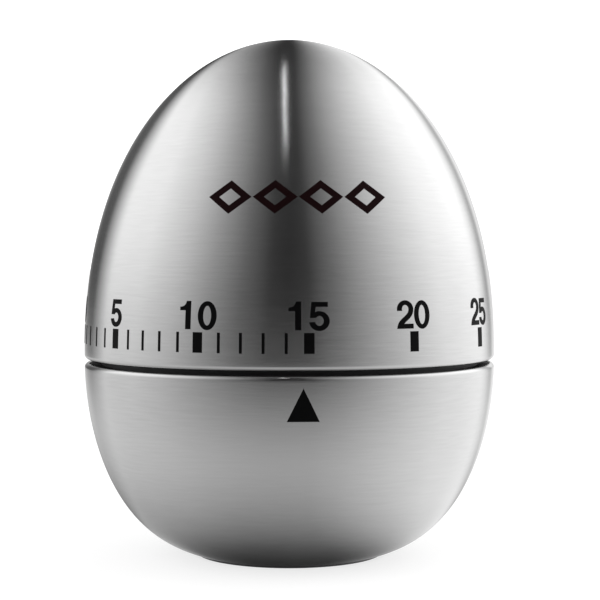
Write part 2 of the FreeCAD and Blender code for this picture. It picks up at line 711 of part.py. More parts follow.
STAFF_AT = polar(pin_staff_distance(ESCAPE_RADIUS, ESCAPE_PIN, ESCAPE_SPAN, ESCAPE_TEETH),
                 STAFF_BEARING, ESCAPE_AT)
HAMMER_AT = polar(pin_staff_distance(ALARM_RADIUS, ALARM_PIN, ALARM_SPAN, ALARM_TEETH),
                  HAMMER_BEARING, ALARM_AT)


def pointed_wheel(teeth, radius, bearing, z_low, at):
    """Wheel with pointed teeth, one of them at the given bearing."""
    root = radius * (1 - POINT_DEPTH)
    pitch = 360 / teeth
    edges = []
    for k in range(teeth):
        middle = bearing + k * pitch
        corners = ((root, -POINT_FOOT), (radius, -POINT_TIP), (radius, POINT_TIP), (root, POINT_FOOT),
                   (root, 0.5), (root, 1 - POINT_FOOT))
        p = [vec(*polar(r, middle + pitch * share, at)) for r, share in corners]
        edges += [line(p[0], p[1]), line(p[1], p[2]), line(p[2], p[3]), arc(p[3], p[4], p[5])]
    blank = extrude(edges, z_low, z_low + WHEEL)
    return blank.cut(cylinder(ARBOR, z_low, z_low + WHEEL, at))


def pin_places(radius, pin, span, teeth, bearing, wheel_at):
    offset = span * 360 / teeth
    return [polar(pin_ring(radius, pin), bearing + side * offset, wheel_at) for side in (-1, 1)]


def anchor(places, staff_at, bore, pin, z_low):
    """Two-armed plate on a staff, drilled for its pins."""
    z_high = z_low + ANCHOR
    plate = cylinder(bore + ANCHOR_HUB, z_low, z_high, staff_at)
    for place in places:
        plate = plate.fuse(bar(staff_at, place, 2 * (pin + ANCHOR_EDGE), z_low, z_high))
    holes = [cylinder(pin, z_low, z_high, place) for place in places]
    return plate.cut(Part.makeCompound(holes + [cylinder(bore, z_low, z_high, staff_at)]))


def anchor_pins(places, pin, z_low, z_high):
    return Part.makeCompound([cylinder(pin, z_low, z_high, place) for place in places])


# ---- plates -----------------------------------------------------------------

TRAIN_AT = (SECOND_AT, THIRD_AT, FOURTH_AT, ESCAPE_AT, ALARM_AT)
CLICK_AT = polar(CLICK_RING, 0)
CLICK_NOSE = polar(RATCHET_RADIUS + CLICK / 2 + CLICK_GAP, CLICK_ANGLE)
LEVER_AT = polar(LEVER_RING, LEVER_ANGLE)
COCK_AT = polar(COCK_REACH, COCK_BEARING, STAFF_AT)
PILLARS_AT = [polar(PILLAR_RING, a) for a in PILLAR_ANGLES]
HAMMER_JOURNAL = ARBOR
HAMMER_SHAFT = ARBOR + END_PLAY


def back_plate():
    low, high = MOVEMENT_Z, BACK_TOP_Z
    holes = [cylinder(PIVOT + RUNNING_FIT, low, high, at) for at in TRAIN_AT + (STAFF_AT,)]
    holes += [cylinder(PILLAR_STUD, low, high, at) for at in PILLARS_AT]
    holes += [cylinder(SCREW_RADIUS, low, high, at) for at in BOSSES_AT]
    holes += [cylinder(MAIN_PIVOT + RUNNING_FIT, low, high)]
    holes += [cylinder(HAMMER_JOURNAL + RUNNING_FIT, low, high, HAMMER_AT)]
    return cylinder(PLATE_RADIUS, low, high).cut(Part.makeCompound(holes))


def front_plate():
    low, high = FRONT_Z, FRONT_TOP_Z
    holes = [cylinder(PIVOT + RUNNING_FIT, low, high, at) for at in TRAIN_AT]
    holes += [cylinder(PILLAR_STUD, low, high, at) for at in PILLARS_AT]
    holes += [cylinder(MAIN_ARBOR + RUNNING_FIT, low, high)]
    holes += [cylinder(HAMMER_JOURNAL + RUNNING_FIT, low, high, HAMMER_AT)]
    holes += [cylinder(STAFF + STAFF_ROOM, low, high, STAFF_AT)]
    holes += [cylinder(SCREW_RADIUS, low, high, COCK_AT)]
    return cylinder(PLATE_RADIUS, low, high).cut(Part.makeCompound(holes))


def pillars():
    posts = []
    for at in PILLARS_AT:
        post = cylinder(PILLAR_RADIUS, BACK_TOP_Z, FRONT_Z, at)
        thread = cylinder(PILLAR_STUD, MOVEMENT_Z, FRONT_TOP_Z + NUT_HEIGHT + THREAD_END, at)
        posts.append(post.fuse(thread))
    return Part.makeCompound(posts)


def pillar_nuts():
    low, high = FRONT_TOP_Z, FRONT_TOP_Z + NUT_HEIGHT
    return Part.makeCompound([hexagon(NUT_FLATS, low, high, at).cut(cylinder(PILLAR_STUD, low, high, at))
                              for at in PILLARS_AT])


def slotted_screw(at, z_seat, depth):
    """Cheese-head screw: slotted head above its seat, shank below."""
    top = z_seat + SCREW_HEAD_HEIGHT
    head = cylinder(SCREW_HEAD, z_seat, top, at)
    half = SCREW_SLOT / 2
    slot = box(at[0] - SCREW_HEAD, at[0] + SCREW_HEAD, at[1] - half, at[1] + half,
               top - SCREW_HEAD_HEIGHT / 2, top)
    return head.cut(slot).fuse(cylinder(SCREW_RADIUS, z_seat - depth, z_seat, at))


def movement_screws():
    return Part.makeCompound([slotted_screw(at, BACK_TOP_Z, PLATE + SCREW_DEPTH - MERGE) for at in BOSSES_AT])


# ---- parts on the dial's arbor ----------------------------------------------

def main_arbor():
    """Winding arbor: pivot below, journal in the front plate, D end in the dial."""
    shoulder_z = BACK_TOP_Z + END_PLAY
    groove_z = MOVEMENT_Z - GROOVE_DROP
    round_end_z = CAM_Z + CAM + CAM_STAND
    pivot = cylinder(MAIN_PIVOT, MOVEMENT_Z - MAIN_TAIL, shoulder_z)
    flange = cylinder(MAIN_ARBOR + MAIN_FLANGE, shoulder_z, BARREL_Z - END_PLAY / 2)
    shaft = cylinder(MAIN_ARBOR, shoulder_z, round_end_z)
    groove = ring(MAIN_PIVOT, MAIN_PIVOT - GROOVE, groove_z, groove_z + CLIP)
    end = d_shaft(MAIN_ARBOR, round_end_z, ARBOR_TOP_Z)
    return pivot.cut(groove).fuse(flange).fuse(shaft).fuse(end)


def great_wheel():
    wheel = train_wheel(GREAT, wheel_phase(GREAT["teeth"], SECOND_BEARING), GREAT_Z, MAIN, MAIN_ARBOR,
                        spoke=GREAT_SPOKE, count=3)
    hub = ring(MAIN_ARBOR + HUB_WALL, MAIN_ARBOR, BARREL_Z + BARREL_HEIGHT + END_PLAY / 2, GREAT_Z)
    rivet = cylinder(CLICK_PIVOT, GREAT_Z, GREAT_Z + WHEEL, CLICK_AT)
    return wheel.fuse(hub).cut(rivet)


def ratchet_wheel():
    """Saw-toothed wheel on the arbor."""
    pitch = 360 / RATCHET_TEETH
    points = []
    for k in range(RATCHET_TEETH):
        points.append(vec(*polar(RATCHET_RADIUS, k * pitch)))
        points.append(vec(*polar(RATCHET_RADIUS - RATCHET_DEPTH, k * pitch + 2)))
    points.append(points[0])
    blank = extrude(polyline(points), RATCHET_Z, RATCHET_Z + RATCHET)
    return blank.cut(cylinder(MAIN_ARBOR, RATCHET_Z, RATCHET_Z + RATCHET))


def click():
    """Pawl on the great wheel, its nose just clear of the ratchet teeth."""
    low, high = CLICK_Z, RATCHET_Z + RATCHET
    pawl = bar(CLICK_AT, CLICK_NOSE, CLICK, low, high).fuse(cylinder(CLICK_EYE, low, high, CLICK_AT))
    return pawl.cut(cylinder(CLICK_PIVOT + RUNNING_FIT, low, high, CLICK_AT))


def click_pivot():
    """Riveted pin with a flat head over the click."""
    head_z = RATCHET_Z + RATCHET + CLICK_LIFT
    shank = cylinder(CLICK_PIVOT, GREAT_Z, head_z, CLICK_AT)
    return shank.fuse(cylinder(CLICK_EYE - CLICK_SPRING, head_z, head_z + CLICK_SPRING, CLICK_AT))


def click_spring():
    """Leaf spring that presses the click towards the ratchet."""
    low, high = RATCHET_Z + END_PLAY / 2, RATCHET_Z + RATCHET
    root = polar(GREAT["module"] * (GREAT["teeth"] / 2 - RIM_DEPTH / 2) - CLICK_SPRING, CLICK_ANGLE + 24)
    middle = polar(CLICK_RING + CLICK_EYE / 2 + CLICK_SPRING, CLICK_ANGLE + 12)
    end = polar(CLICK_RING - CLICK_GAP, CLICK_ANGLE - 1)
    leaf = bar(root, middle, CLICK_SPRING, low, high).fuse(bar(middle, end, CLICK_SPRING, low, high))
    return leaf.fuse(cylinder(CLICK_EYE / 3, RATCHET_Z, high, root))


def cam_disc():
    """Disc with one notch, at the place that meets the lever when time is up."""
    top = CAM_Z + CAM
    disc = cylinder(CAM_RADIUS, CAM_Z, top).fuse(cylinder(CAM_HUB, FRONT_TOP_Z + END_PLAY, CAM_Z))
    notch_angle = NOSE_ANGLE - ZERO_TURN
    notch = bar(polar(CAM_RADIUS - CAM_NOTCH, notch_angle), polar(CAM_RADIUS + CAM_NOTCH, notch_angle),
                LEVER_WIDTH + NOTCH_EASE, CAM_Z, top)
    return disc.cut(Part.makeCompound([notch, cylinder(MAIN_ARBOR, FRONT_TOP_Z, top)]))


# ---- barrel -----------------------------------------------------------------

def barrel():
    """Spring barrel, free on the arbor, with the alarm gear round its floor."""
    flange_z = BARREL_Z + BARREL_FLANGE
    top = BARREL_Z + BARREL_HEIGHT - BARREL_SHEET
    phase = wheel_phase(BARREL_TEETH, ALARM_BEARING)
    flange = gear(BARREL_TEETH, BARREL_MODULE, WHEEL_TOOTH, phase, BARREL_Z, flange_z, MAIN)
    wall = ring(DRUM_RADIUS, DRUM_RADIUS - BARREL_SHEET, flange_z, top)
    return flange.fuse(wall).cut(cylinder(MAIN_ARBOR + RUNNING_FIT, BARREL_Z, flange_z))


def barrel_cover():
    top = BARREL_Z + BARREL_HEIGHT
    return ring(DRUM_RADIUS, MAIN_ARBOR + RUNNING_FIT, top - BARREL_SHEET, top)


def spiral_strip(inner, outer, turns, thickness, z_low, z_high, at, start=0.0):
    """Flat strip wound evenly: its radius grows in proportion to the angle turned."""
    count = turns * SPIRAL_SPANS
    sides = []
    for side in (-thickness / 2, thickness / 2):
        points = []
        for k in range(count + 1):
            radius = inner + (outer - inner) * k / count + side
            points.append(vec(*polar(radius, start + 360 * k / SPIRAL_SPANS, at)))
        curve = Part.BSplineCurve()
        curve.interpolate(points)
        sides.append((curve.toShape(), points))
    (inside, a), (outside, b) = sides
    return extrude([inside, line(a[-1], b[-1]), outside, line(b[0], a[0])], z_low, z_high)


def mainspring():
    low = BARREL_Z + BARREL_FLANGE + END_PLAY
    high = BARREL_Z + BARREL_HEIGHT - BARREL_SHEET - END_PLAY
    outer = DRUM_RADIUS - BARREL_SHEET - MAINSPRING_STRIP * 0.75
    return spiral_strip(MAIN_ARBOR + MAINSPRING_STRIP, outer, MAINSPRING_TURNS, MAINSPRING_STRIP,
                        low, high, MAIN)


# ---- balance ----------------------------------------------------------------

def balance_staff():
    pivots = cylinder(PIVOT, MOVEMENT_Z, COCK_Z + COCK, STAFF_AT)
    return pivots.fuse(cylinder(STAFF, BACK_TOP_Z + END_PLAY, COCK_Z - END_PLAY, STAFF_AT))


def balance_wheel():
    low, high = BALANCE_Z, BALANCE_Z + BALANCE_HEIGHT
    rim = ring(BALANCE_RADIUS, BALANCE_RADIUS - BALANCE_RIM, low, high, STAFF_AT)
    reach = BALANCE_RADIUS - BALANCE_RIM / 2
    arm = bar(polar(reach, BALANCE_ARM, STAFF_AT), polar(reach, BALANCE_ARM + 180, STAFF_AT),
              BALANCE_HEIGHT, low + ARM_INSET, high - ARM_INSET)
    arm = arm.common(cylinder(reach, low, high, STAFF_AT))
    hub = cylinder(BALANCE_HUB, low, high, STAFF_AT)
    return rim.fuse(arm).fuse(hub).cut(cylinder(STAFF, low, high, STAFF_AT))


def hairspring_collet():
    low, high = HAIRSPRING_Z - END_PLAY / 2, HAIRSPRING_Z + HAIRSPRING + END_PLAY / 2
    return ring(STAFF + COLLET, STAFF, low, high, STAFF_AT)


def hairspring():
    return spiral_strip(STAFF + COLLET + HAIRSPRING_STRIP, HAIRSPRING_RADIUS, HAIRSPRING_TURNS,
                        HAIRSPRING_STRIP, HAIRSPRING_Z, HAIRSPRING_Z + HAIRSPRING, STAFF_AT, COCK_BEARING)


def hairspring_stud():
    at = polar(HAIRSPRING_RADIUS + HAIRSPRING_STRIP / 2 + HAIRSPRING_STUD, COCK_BEARING, STAFF_AT)
    return cylinder(HAIRSPRING_STUD, HAIRSPRING_Z - END_PLAY, COCK_Z, at)


def balance_cock():
    """Bridge on the front plate that carries the staff's upper pivot."""
    bridge = bar(COCK_AT, STAFF_AT, COCK_FOOT * 2, COCK_Z, COCK_Z + COCK)
    foot = cylinder(COCK_FOOT, FRONT_TOP_Z, COCK_Z, COCK_AT)
    holes = [cylinder(PIVOT + RUNNING_FIT, COCK_Z, COCK_Z + COCK, STAFF_AT),
             cylinder(SCREW_RADIUS, FRONT_TOP_Z, COCK_Z + COCK, COCK_AT)]
    return bridge.fuse(foot).cut(Part.makeCompound(holes))


def cock_screw():
    return slotted_screw(COCK_AT, COCK_Z + COCK, COCK_Z + COCK - FRONT_Z)


# ---- alarm ------------------------------------------------------------------

HEAD_AT = polar(BELL_RADIUS - BELL_WALL - HAMMER_GAP - HAMMER_RADIUS, HAMMER_ANGLE)


def hammer_arbor():
    low, high = ARM_Z, LEVER_Z + LEVER
    journal = cylinder(HAMMER_JOURNAL, low, high, HAMMER_AT)
    return journal.fuse(cylinder(HAMMER_SHAFT, BACK_TOP_Z + END_PLAY, FRONT_Z - END_PLAY, HAMMER_AT))


def hammer_arm():
    hub = cylinder(ARM_WIDTH, ARM_Z, ARM_Z + ARM, HAMMER_AT)
    arm = bar(HAMMER_AT, HEAD_AT, ARM_WIDTH, ARM_Z, ARM_Z + ARM)
    return hub.fuse(arm).cut(cylinder(HAMMER_JOURNAL, ARM_Z, ARM_Z + ARM, HAMMER_AT))


def hammer_head():
    """Chamfered slug under the end of the arm."""
    low = BELL_Z + BELL_CORNER + HEAD_LIFT
    inner = HAMMER_RADIUS - HEAD_CHAMFER
    head = cylinder(HAMMER_RADIUS, low + HEAD_CHAMFER, ARM_Z - HEAD_CHAMFER, HEAD_AT)
    head = head.fuse(cone(inner, HAMMER_RADIUS, low, low + HEAD_CHAMFER, HEAD_AT))
    return head.fuse(cone(HAMMER_RADIUS, inner, ARM_Z - HEAD_CHAMFER, ARM_Z, HEAD_AT))


def hammer_stop_crank():
    low, high = LEVER_Z, LEVER_Z + LEVER
    hub = cylinder(HAMMER_JOURNAL + CRANK_HUB, low, high, HAMMER_AT)
    finger = bar(HAMMER_AT, polar(CRANK_REACH, 180, HAMMER_AT), CRANK_WIDTH, low, high)
    return hub.fuse(finger).cut(cylinder(HAMMER_JOURNAL, low, high, HAMMER_AT))


# ---- release lever ----------------------------------------------------------

NOSE_AT = polar(CAM_RADIUS + NOSE_GAP + LEVER_WIDTH / 2, NOSE_ANGLE)
TAIL_AT = (HAMMER_AT[0] - CRANK_REACH + CRANK_WIDTH / 2,
           HAMMER_AT[1] - (CRANK_WIDTH + LEVER_WIDTH) / 2 - STOP_GAP)


def release_lever():
    """Bell crank: its nose rides on the cam, its tail holds the hammer's crank."""
    low, high = LEVER_Z, LEVER_Z + LEVER
    lever = bar(LEVER_AT, NOSE_AT, LEVER_WIDTH, low, high)
    lever = lever.fuse(bar(LEVER_AT, TAIL_AT, LEVER_WIDTH, low, high))
    lever = lever.fuse(cylinder(LEVER_STUD + LEVER_EYE, low, high, LEVER_AT))
    return lever.cut(cylinder(LEVER_STUD + RUNNING_FIT, low, high, LEVER_AT))


LEVER_CLIP_Z = SPRING_Z + SPRING_COIL + END_PLAY


def lever_stud():
    """Shouldered stud on the front plate, grooved for its clip."""
    seat = cylinder(LEVER_STUD + CRANK_HUB, FRONT_TOP_Z, LEVER_Z - RUNNING_FIT, LEVER_AT)
    pin = cylinder(LEVER_STUD, FRONT_TOP_Z, LEVER_CLIP_Z + 3 * CLIP, LEVER_AT)
    groove = ring(LEVER_STUD, LEVER_STUD - LEVER_GROOVE, LEVER_CLIP_Z, LEVER_CLIP_Z + CLIP, LEVER_AT)
    return seat.fuse(pin.cut(groove))


def lever_spring():
    """Torsion spring: a coil round the stud and two legs."""
    inner = LEVER_STUD + END_PLAY
    middle = inner + SPRING_WIRE * 0.75
    high = SPRING_Z + SPRING_COIL
    coil = ring(inner + SPRING_WIRE * 1.5, inner, SPRING_Z, high, LEVER_AT)
    for leg, low in ((SPRING_LEG, SPRING_Z), (SPRING_FOOT, high - SPRING_WIRE)):
        start = polar(middle, leg["coil_angle"], LEVER_AT)
        end = polar(leg["reach"], leg["end_angle"], LEVER_AT)
        coil = coil.fuse(bar(start, end, SPRING_WIRE, low, low + SPRING_WIRE))
    return coil


def lever_circlip():
    return spring_clip(LEVER_STUD - LEVER_GROOVE + CLIP_EASE, LEVER_CLIP_Z, LEVER_AT)


def arbor_circlip():
    return spring_clip(MAIN_PIVOT - GROOVE + CLIP_EASE, MOVEMENT_Z - GROOVE_DROP)


# ---- all the pieces ---------------------------------------------------------

SECOND_PINION = (GREAT_Z - PINION_EXTRA, GREAT_Z + WHEEL + PINION_EXTRA)
THIRD_PINION = (SECOND_Z - PINION_EXTRA, SECOND_Z + WHEEL + PINION_EXTRA)
FOURTH_PINION = (THIRD_Z - PINION_EXTRA, THIRD_Z + WHEEL + PINION_EXTRA)
ALARM_PINION = (BARREL_Z - END_PLAY, BARREL_Z + BARREL_FLANGE + PINION_EXTRA)
ESCAPE_PINS = pin_places(ESCAPE_RADIUS, ESCAPE_PIN, ESCAPE_SPAN, ESCAPE_TEETH, STAFF_BEARING, ESCAPE_AT)
ALARM_PINS = pin_places(ALARM_RADIUS, ALARM_PIN, ALARM_SPAN, ALARM_TEETH, HAMMER_BEARING, ALARM_AT)

PIECES = {
    "dial_shell": dial_shell(),
    "dial_liner": dial_liner(),
    "main_arbor": main_arbor(),
    "arbor_circlip": arbor_circlip(),
    "great_wheel": great_wheel(),
    "ratchet_wheel": ratchet_wheel(),
    "click": click(),
    "click_pivot": click_pivot(),
    "click_spring": click_spring(),
    "cam_disc": cam_disc(),
    "base_shell": case_shell(),
    "base_liner": case_liner(),
    "base_plate": base_plate(),
    "base_plate_screws": base_plate_screws(),
    "bell": bell(),
    "bell_post": bell_post(),
    "bell_nut": bell_nut(),
    "back_plate": back_plate(),
    "front_plate": front_plate(),
    "plate_pillars": pillars(),
    "pillar_nuts": pillar_nuts(),
    "movement_screws": movement_screws(),
    "barrel": barrel(),
    "barrel_cover": barrel_cover(),
    "mainspring": mainspring(),
    "second_arbor": pinion_arbor(GREAT["leaves"], GREAT["module"], SECOND_BEARING + 180,
                                 *SECOND_PINION, SECOND_AT),
    "second_wheel": train_wheel(SECOND, wheel_phase(SECOND["teeth"], THIRD_BEARING), SECOND_Z,
                                SECOND_AT, ARBOR),
    "third_arbor": pinion_arbor(SECOND["leaves"], SECOND["module"], THIRD_BEARING + 180,
                                *THIRD_PINION, THIRD_AT),
    "third_wheel": train_wheel(THIRD, wheel_phase(THIRD["teeth"], FOURTH_BEARING), THIRD_Z,
                               THIRD_AT, ARBOR),
    "fourth_arbor": pinion_arbor(THIRD["leaves"], THIRD["module"], FOURTH_BEARING + 180,
                                 *FOURTH_PINION, FOURTH_AT),
    "fourth_wheel": train_wheel(FOURTH, wheel_phase(FOURTH["teeth"], ESCAPE_BEARING), SECOND_Z,
                                FOURTH_AT, ARBOR),
    "escape_arbor": pinion_arbor(FOURTH["leaves"], FOURTH["module"], ESCAPE_BEARING + 180,
                                 *THIRD_PINION, ESCAPE_AT),
    "escape_wheel": pointed_wheel(ESCAPE_TEETH, ESCAPE_RADIUS,
                                  STAFF_BEARING + ESCAPE_PHASE * 360 / ESCAPE_TEETH, THIRD_Z, ESCAPE_AT),
    "balance_staff": balance_staff(),
    "pallet_anchor": anchor(ESCAPE_PINS, STAFF_AT, STAFF, ESCAPE_PIN, ANCHOR_Z),
    "pallet_pins": anchor_pins(ESCAPE_PINS, ESCAPE_PIN, THIRD_Z - END_PLAY, ANCHOR_Z + ANCHOR),
    "balance_wheel": balance_wheel(),
    "hairspring_collet": hairspring_collet(),
    "hairspring": hairspring(),
    "hairspring_stud": hairspring_stud(),
    "balance_cock": balance_cock(),
    "cock_screw": cock_screw(),
    "alarm_arbor": pinion_arbor(ALARM_LEAVES, BARREL_MODULE, ALARM_BEARING + 180, *ALARM_PINION, ALARM_AT),
    "alarm_wheel": pointed_wheel(ALARM_TEETH, ALARM_RADIUS, HAMMER_BEARING, SECOND_Z, ALARM_AT),
    "hammer_arbor": hammer_arbor(),
    "hammer_anchor": anchor(ALARM_PINS, HAMMER_AT, HAMMER_SHAFT, ALARM_PIN, ALARM_ANCHOR_Z),
    "hammer_pins": anchor_pins(ALARM_PINS, ALARM_PIN, SECOND_Z - END_PLAY, ALARM_ANCHOR_Z + ANCHOR),
    "hammer_arm": hammer_arm(),
    "hammer_head": hammer_head(),
    "hammer_stop_crank": hammer_stop_crank(),
    "release_lever": release_lever(),
    "lever_stud": lever_stud(),
    "lever_spring": lever_spring(),
    "lever_circlip": lever_circlip(),
}

for name, shape in PIECES.items():
    shape.exportStep("parts/" + name + ".step")
    print(name, "volume", round(shape.Volume, 2), "solids", len(shape.Solids), "valid", shape.isValid())
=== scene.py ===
"""Looks of the egg-shaped kitchen timer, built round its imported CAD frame.  Lengths are metres."""

import json
import math

import bmesh
import bpy
import numpy as np
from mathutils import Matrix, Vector

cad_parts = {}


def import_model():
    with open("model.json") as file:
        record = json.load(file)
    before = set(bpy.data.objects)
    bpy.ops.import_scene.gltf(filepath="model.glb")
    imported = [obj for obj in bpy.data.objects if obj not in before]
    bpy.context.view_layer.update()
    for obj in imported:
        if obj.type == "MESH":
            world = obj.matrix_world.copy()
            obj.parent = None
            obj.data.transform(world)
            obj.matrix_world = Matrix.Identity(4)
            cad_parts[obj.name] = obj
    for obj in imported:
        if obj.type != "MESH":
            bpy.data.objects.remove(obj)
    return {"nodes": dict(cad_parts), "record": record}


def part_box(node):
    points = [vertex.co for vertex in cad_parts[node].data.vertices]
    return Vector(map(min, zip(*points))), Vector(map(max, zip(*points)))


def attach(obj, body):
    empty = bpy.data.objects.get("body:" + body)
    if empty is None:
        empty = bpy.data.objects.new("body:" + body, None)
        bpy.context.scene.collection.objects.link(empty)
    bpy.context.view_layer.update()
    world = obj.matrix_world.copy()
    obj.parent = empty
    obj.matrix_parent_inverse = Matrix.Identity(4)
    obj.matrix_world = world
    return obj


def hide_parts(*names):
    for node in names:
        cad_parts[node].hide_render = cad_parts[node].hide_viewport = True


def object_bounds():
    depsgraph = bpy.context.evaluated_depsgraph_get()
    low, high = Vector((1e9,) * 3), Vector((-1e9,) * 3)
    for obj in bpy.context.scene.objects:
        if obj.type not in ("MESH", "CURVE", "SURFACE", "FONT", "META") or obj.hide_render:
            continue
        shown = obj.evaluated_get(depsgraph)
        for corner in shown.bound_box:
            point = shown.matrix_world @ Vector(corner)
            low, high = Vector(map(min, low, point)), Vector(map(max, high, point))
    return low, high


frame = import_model()
CAD_LOW, CAD_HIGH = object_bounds()
MM = 0.001

# ---- sizes, read from the frame where the frame has them ----------------------
HEIGHT = CAD_HIGH.z
RADIUS = 30.0 * MM
DIAL_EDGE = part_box("dial_shell")[0].z
CASE_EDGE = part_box("base_shell")[1].z
FOOT_RADIUS = 14.0 * MM
WIDEST = 28.8 * MM
STEEL = 0.4 * MM
HEM = 0.7 * MM
LIP = 0.6 * MM
DOME = dict(length=HEIGHT - WIDEST, side=1.981, end=2.23, way=1)
BOWL = dict(length=29.6 * MM, side=3.483, end=1.924, way=-1)
SEGMENTS = 288           # round the axis
REST_MINUTES = 14.75     # what the pointer shows at rest
DEGREES_PER_MINUTE = 5.76
FRONT = -90.0            # direction of the pointer

# ---- printed scale --------------------------------------------------------------
TICK_FOOT = 2.35 * MM    # above the dial's edge
TICK_HEIGHT = 2.7 * MM
THICK_TICK = 1.38 * MM
THIN_TICK = 0.4 * MM
THIN_UP_TO = 15          # single minutes are marked this far
LAST_MINUTE = 60
DIGIT_LIFT = 0.36 * MM   # numerals above the ticks
DIGIT_HEIGHT = 3.74 * MM
DIGIT_PITCH = 0.74       # from one digit to the next, as a share of their height
INK = 0.03 * MM
INK_CELL = 0.45 * MM     # largest facet of the print
POINTER_TOP = 1.55 * MM  # below the case's edge
POINTER_HEIGHT = 4.42 * MM
POINTER_WIDTH = 4.34 * MM
MOTIF_Z = 51.6 * MM
MOTIF_WIDTH = 24.4 * MM
MOTIF_HEIGHT = 4.7 * MM
MOTIF_STROKE = 0.9 * MM
MOTIF_COUNT = 4
MOTIF_FILL = 0.97        # lozenge as a share of its space
MOTIF_TURN = -1.0        # degrees from the pointer


# ---- light ------------------------------------------------------------------------
CAMERA_AZIMUTH = -3.5    # 0 is straight in front of the pointer, + is to the right
CAMERA_DISTANCE = 0.250
CAMERA_HEIGHT = 0.0451
CAMERA_PITCH = 1.82      # degrees below level
CAMERA_YAW = 0.355
FOCAL_LENGTH = 101.8     # millimetres, on a 36 mm sensor
FILL = 1.45              # brightness of the white surroundings
SIDE_LAMPS = ((-70, 3.0), (80, 3.0))     # azimuth and power
STRIP_SIZE = (0.006, 0.75)
STRIP_POWER = 0.09
STRIP_PLACE = (0.032, 0.12, 0.85)        # left of the axis, towards the camera, up
FLOOR_REACH = 3.0
FLOOR_GAP = 0.00002      # floor below the resting face
FLOOR_OWN_GLOW = 0.74
SOFTBOX_PEAK = (2.2, 2.35)      # left and right
# (place, brightness) stops: round the axis 0 is in front and 1 a quarter turn away;
# over the tilt 0 is straight down, 0.5 level and 1 straight up
LEFT_SOFTBOX = (
    ((0.0, 0.01), (0.055, 0.02), (0.14, 0.11), (0.24, 0.29), (0.36, 0.56), (0.5, 0.8), (0.655, 0.84)),
    ((0.15, 0.2), (0.3, 0.17), (0.38, 0.2), (0.44, 0.38), (0.5, 0.66), (0.56, 0.92), (0.62, 1.0), (0.73, 1.0),
     (0.8, 0.6), (0.86, 0.25), (1.0, 0.16)))
LEFT_RIM = ((0.66, 1.0), (0.72, 0.48), (0.78, 0.08), (0.86, 0.08), (1.0, 0.36))
RIGHT_SOFTBOX = (
    ((0.0, 0.01), (0.055, 0.02), (0.14, 0.13), (0.24, 0.32), (0.36, 0.56), (0.5, 0.82), (0.66, 0.96),
     (0.72, 0.96), (0.77, 0.68), (0.8, 0.42), (0.83, 0.27), (0.87, 0.6), (1.0, 0.3)),
    ((0.12, 0.3), (0.2, 0.5), (0.32, 0.54), (0.4, 0.5), (0.5, 0.76), (0.6, 0.97), (0.74, 1.0), (0.83, 0.66),
     (1.0, 0.4)))
# the bowl's left edge catches the floor beside it
LEFT_EDGE = (((0.55, 0.0), (0.75, 1.0)), ((0.1, 0.5), (0.2, 0.12), (0.3, 0.02), (0.42, 0.14), (0.5, 0.0)))
# the soft lights reach further round where the surface leans back, less where it leans under
REACH = 2.5
LEFT_REACH = ((0.15, 0.92), (0.2, 0.68), (0.25, 0.53), (0.32, 0.44), (0.48, 0.44), (0.57, 0.39), (0.66, 0.35),
              (0.72, 0.375), (0.77, 0.41), (0.9, 0.44))
RIGHT_REACH = ((0.15, 0.92), (0.2, 0.66), (0.25, 0.51), (0.32, 0.42), (0.48, 0.44), (0.57, 0.39),
               (0.68, 0.33), (0.77, 0.335), (0.9, 0.4))
FLOOR_GLOW = ((0.12, 0.03), (0.2, 0.11), (0.25, 0.26), (0.33, 0.57), (0.39, 0.78), (0.44, 0.5), (0.475, 0.16),
              (0.5, 0.02), (0.53, 0.0))


# ==== camera =====================================================================

def make_camera():
    """Camera a little below the dial's middle, slightly to the left of the pointer."""
    data = bpy.data.cameras.new("camera")
    data.sensor_width = 36.0
    data.lens = FOCAL_LENGTH
    camera = bpy.data.objects.new("camera", data)
    bpy.context.scene.collection.objects.link(camera)
    azimuth = math.radians(CAMERA_AZIMUTH)
    camera.location = (CAMERA_DISTANCE * math.sin(azimuth), -CAMERA_DISTANCE * math.cos(azimuth),
                       CAMERA_HEIGHT)
    pitch = math.radians(CAMERA_PITCH)
    camera.rotation_euler = (math.pi / 2 - pitch, 0.0, azimuth - math.radians(CAMERA_YAW))
    data.clip_start = 0.01
    data.clip_end = 20.0
    bpy.context.scene.camera = camera


# ==== surfaces ===================================================================

def add_mesh(name, points, faces, smooth=True):
    """Mesh object from an (n, 3) array of points and a list of index rows."""
    mesh = bpy.data.meshes.new(name)
    mesh.from_pydata(points.tolist(), [], faces)
    mesh.validate()
    mesh.polygons.foreach_set("use_smooth", np.full(len(mesh.polygons), smooth))
    mesh.update()
    piece = bpy.data.objects.new(name, mesh)
    bpy.context.scene.collection.objects.link(piece)
    return piece


def egg_profile(half, inset, start, end, count):
    """Rows (r, z) on (r/a)^side + (h/b)^end = 1, for angles from start to end."""
    angle = np.linspace(start, end, count)
    r = (RADIUS - inset) * np.abs(np.cos(angle)) ** (2 / half["side"])
    h = (half["length"] - inset) * np.sin(angle) ** (2 / half["end"])
    r[np.abs(np.cos(angle)) < 1e-9] = 0.0
    return np.stack([r, WIDEST + half["way"] * h], axis=1)


def angle_at(half, inset, z):
    return math.asin((abs(z - WIDEST) / (half["length"] - inset)) ** (half["end"] / 2))


def angle_at_radius(half, inset, r):
    return math.acos((r / (RADIUS - inset)) ** (half["side"] / 2))


def arc_profile(centre, radius, start, end, count):
    """Rows (r, z) on a circle, angles in degrees."""
    angle = np.radians(np.linspace(start, end, count))
    return np.stack([centre[0] + radius * np.cos(angle), centre[1] + radius * np.sin(angle)], axis=1)


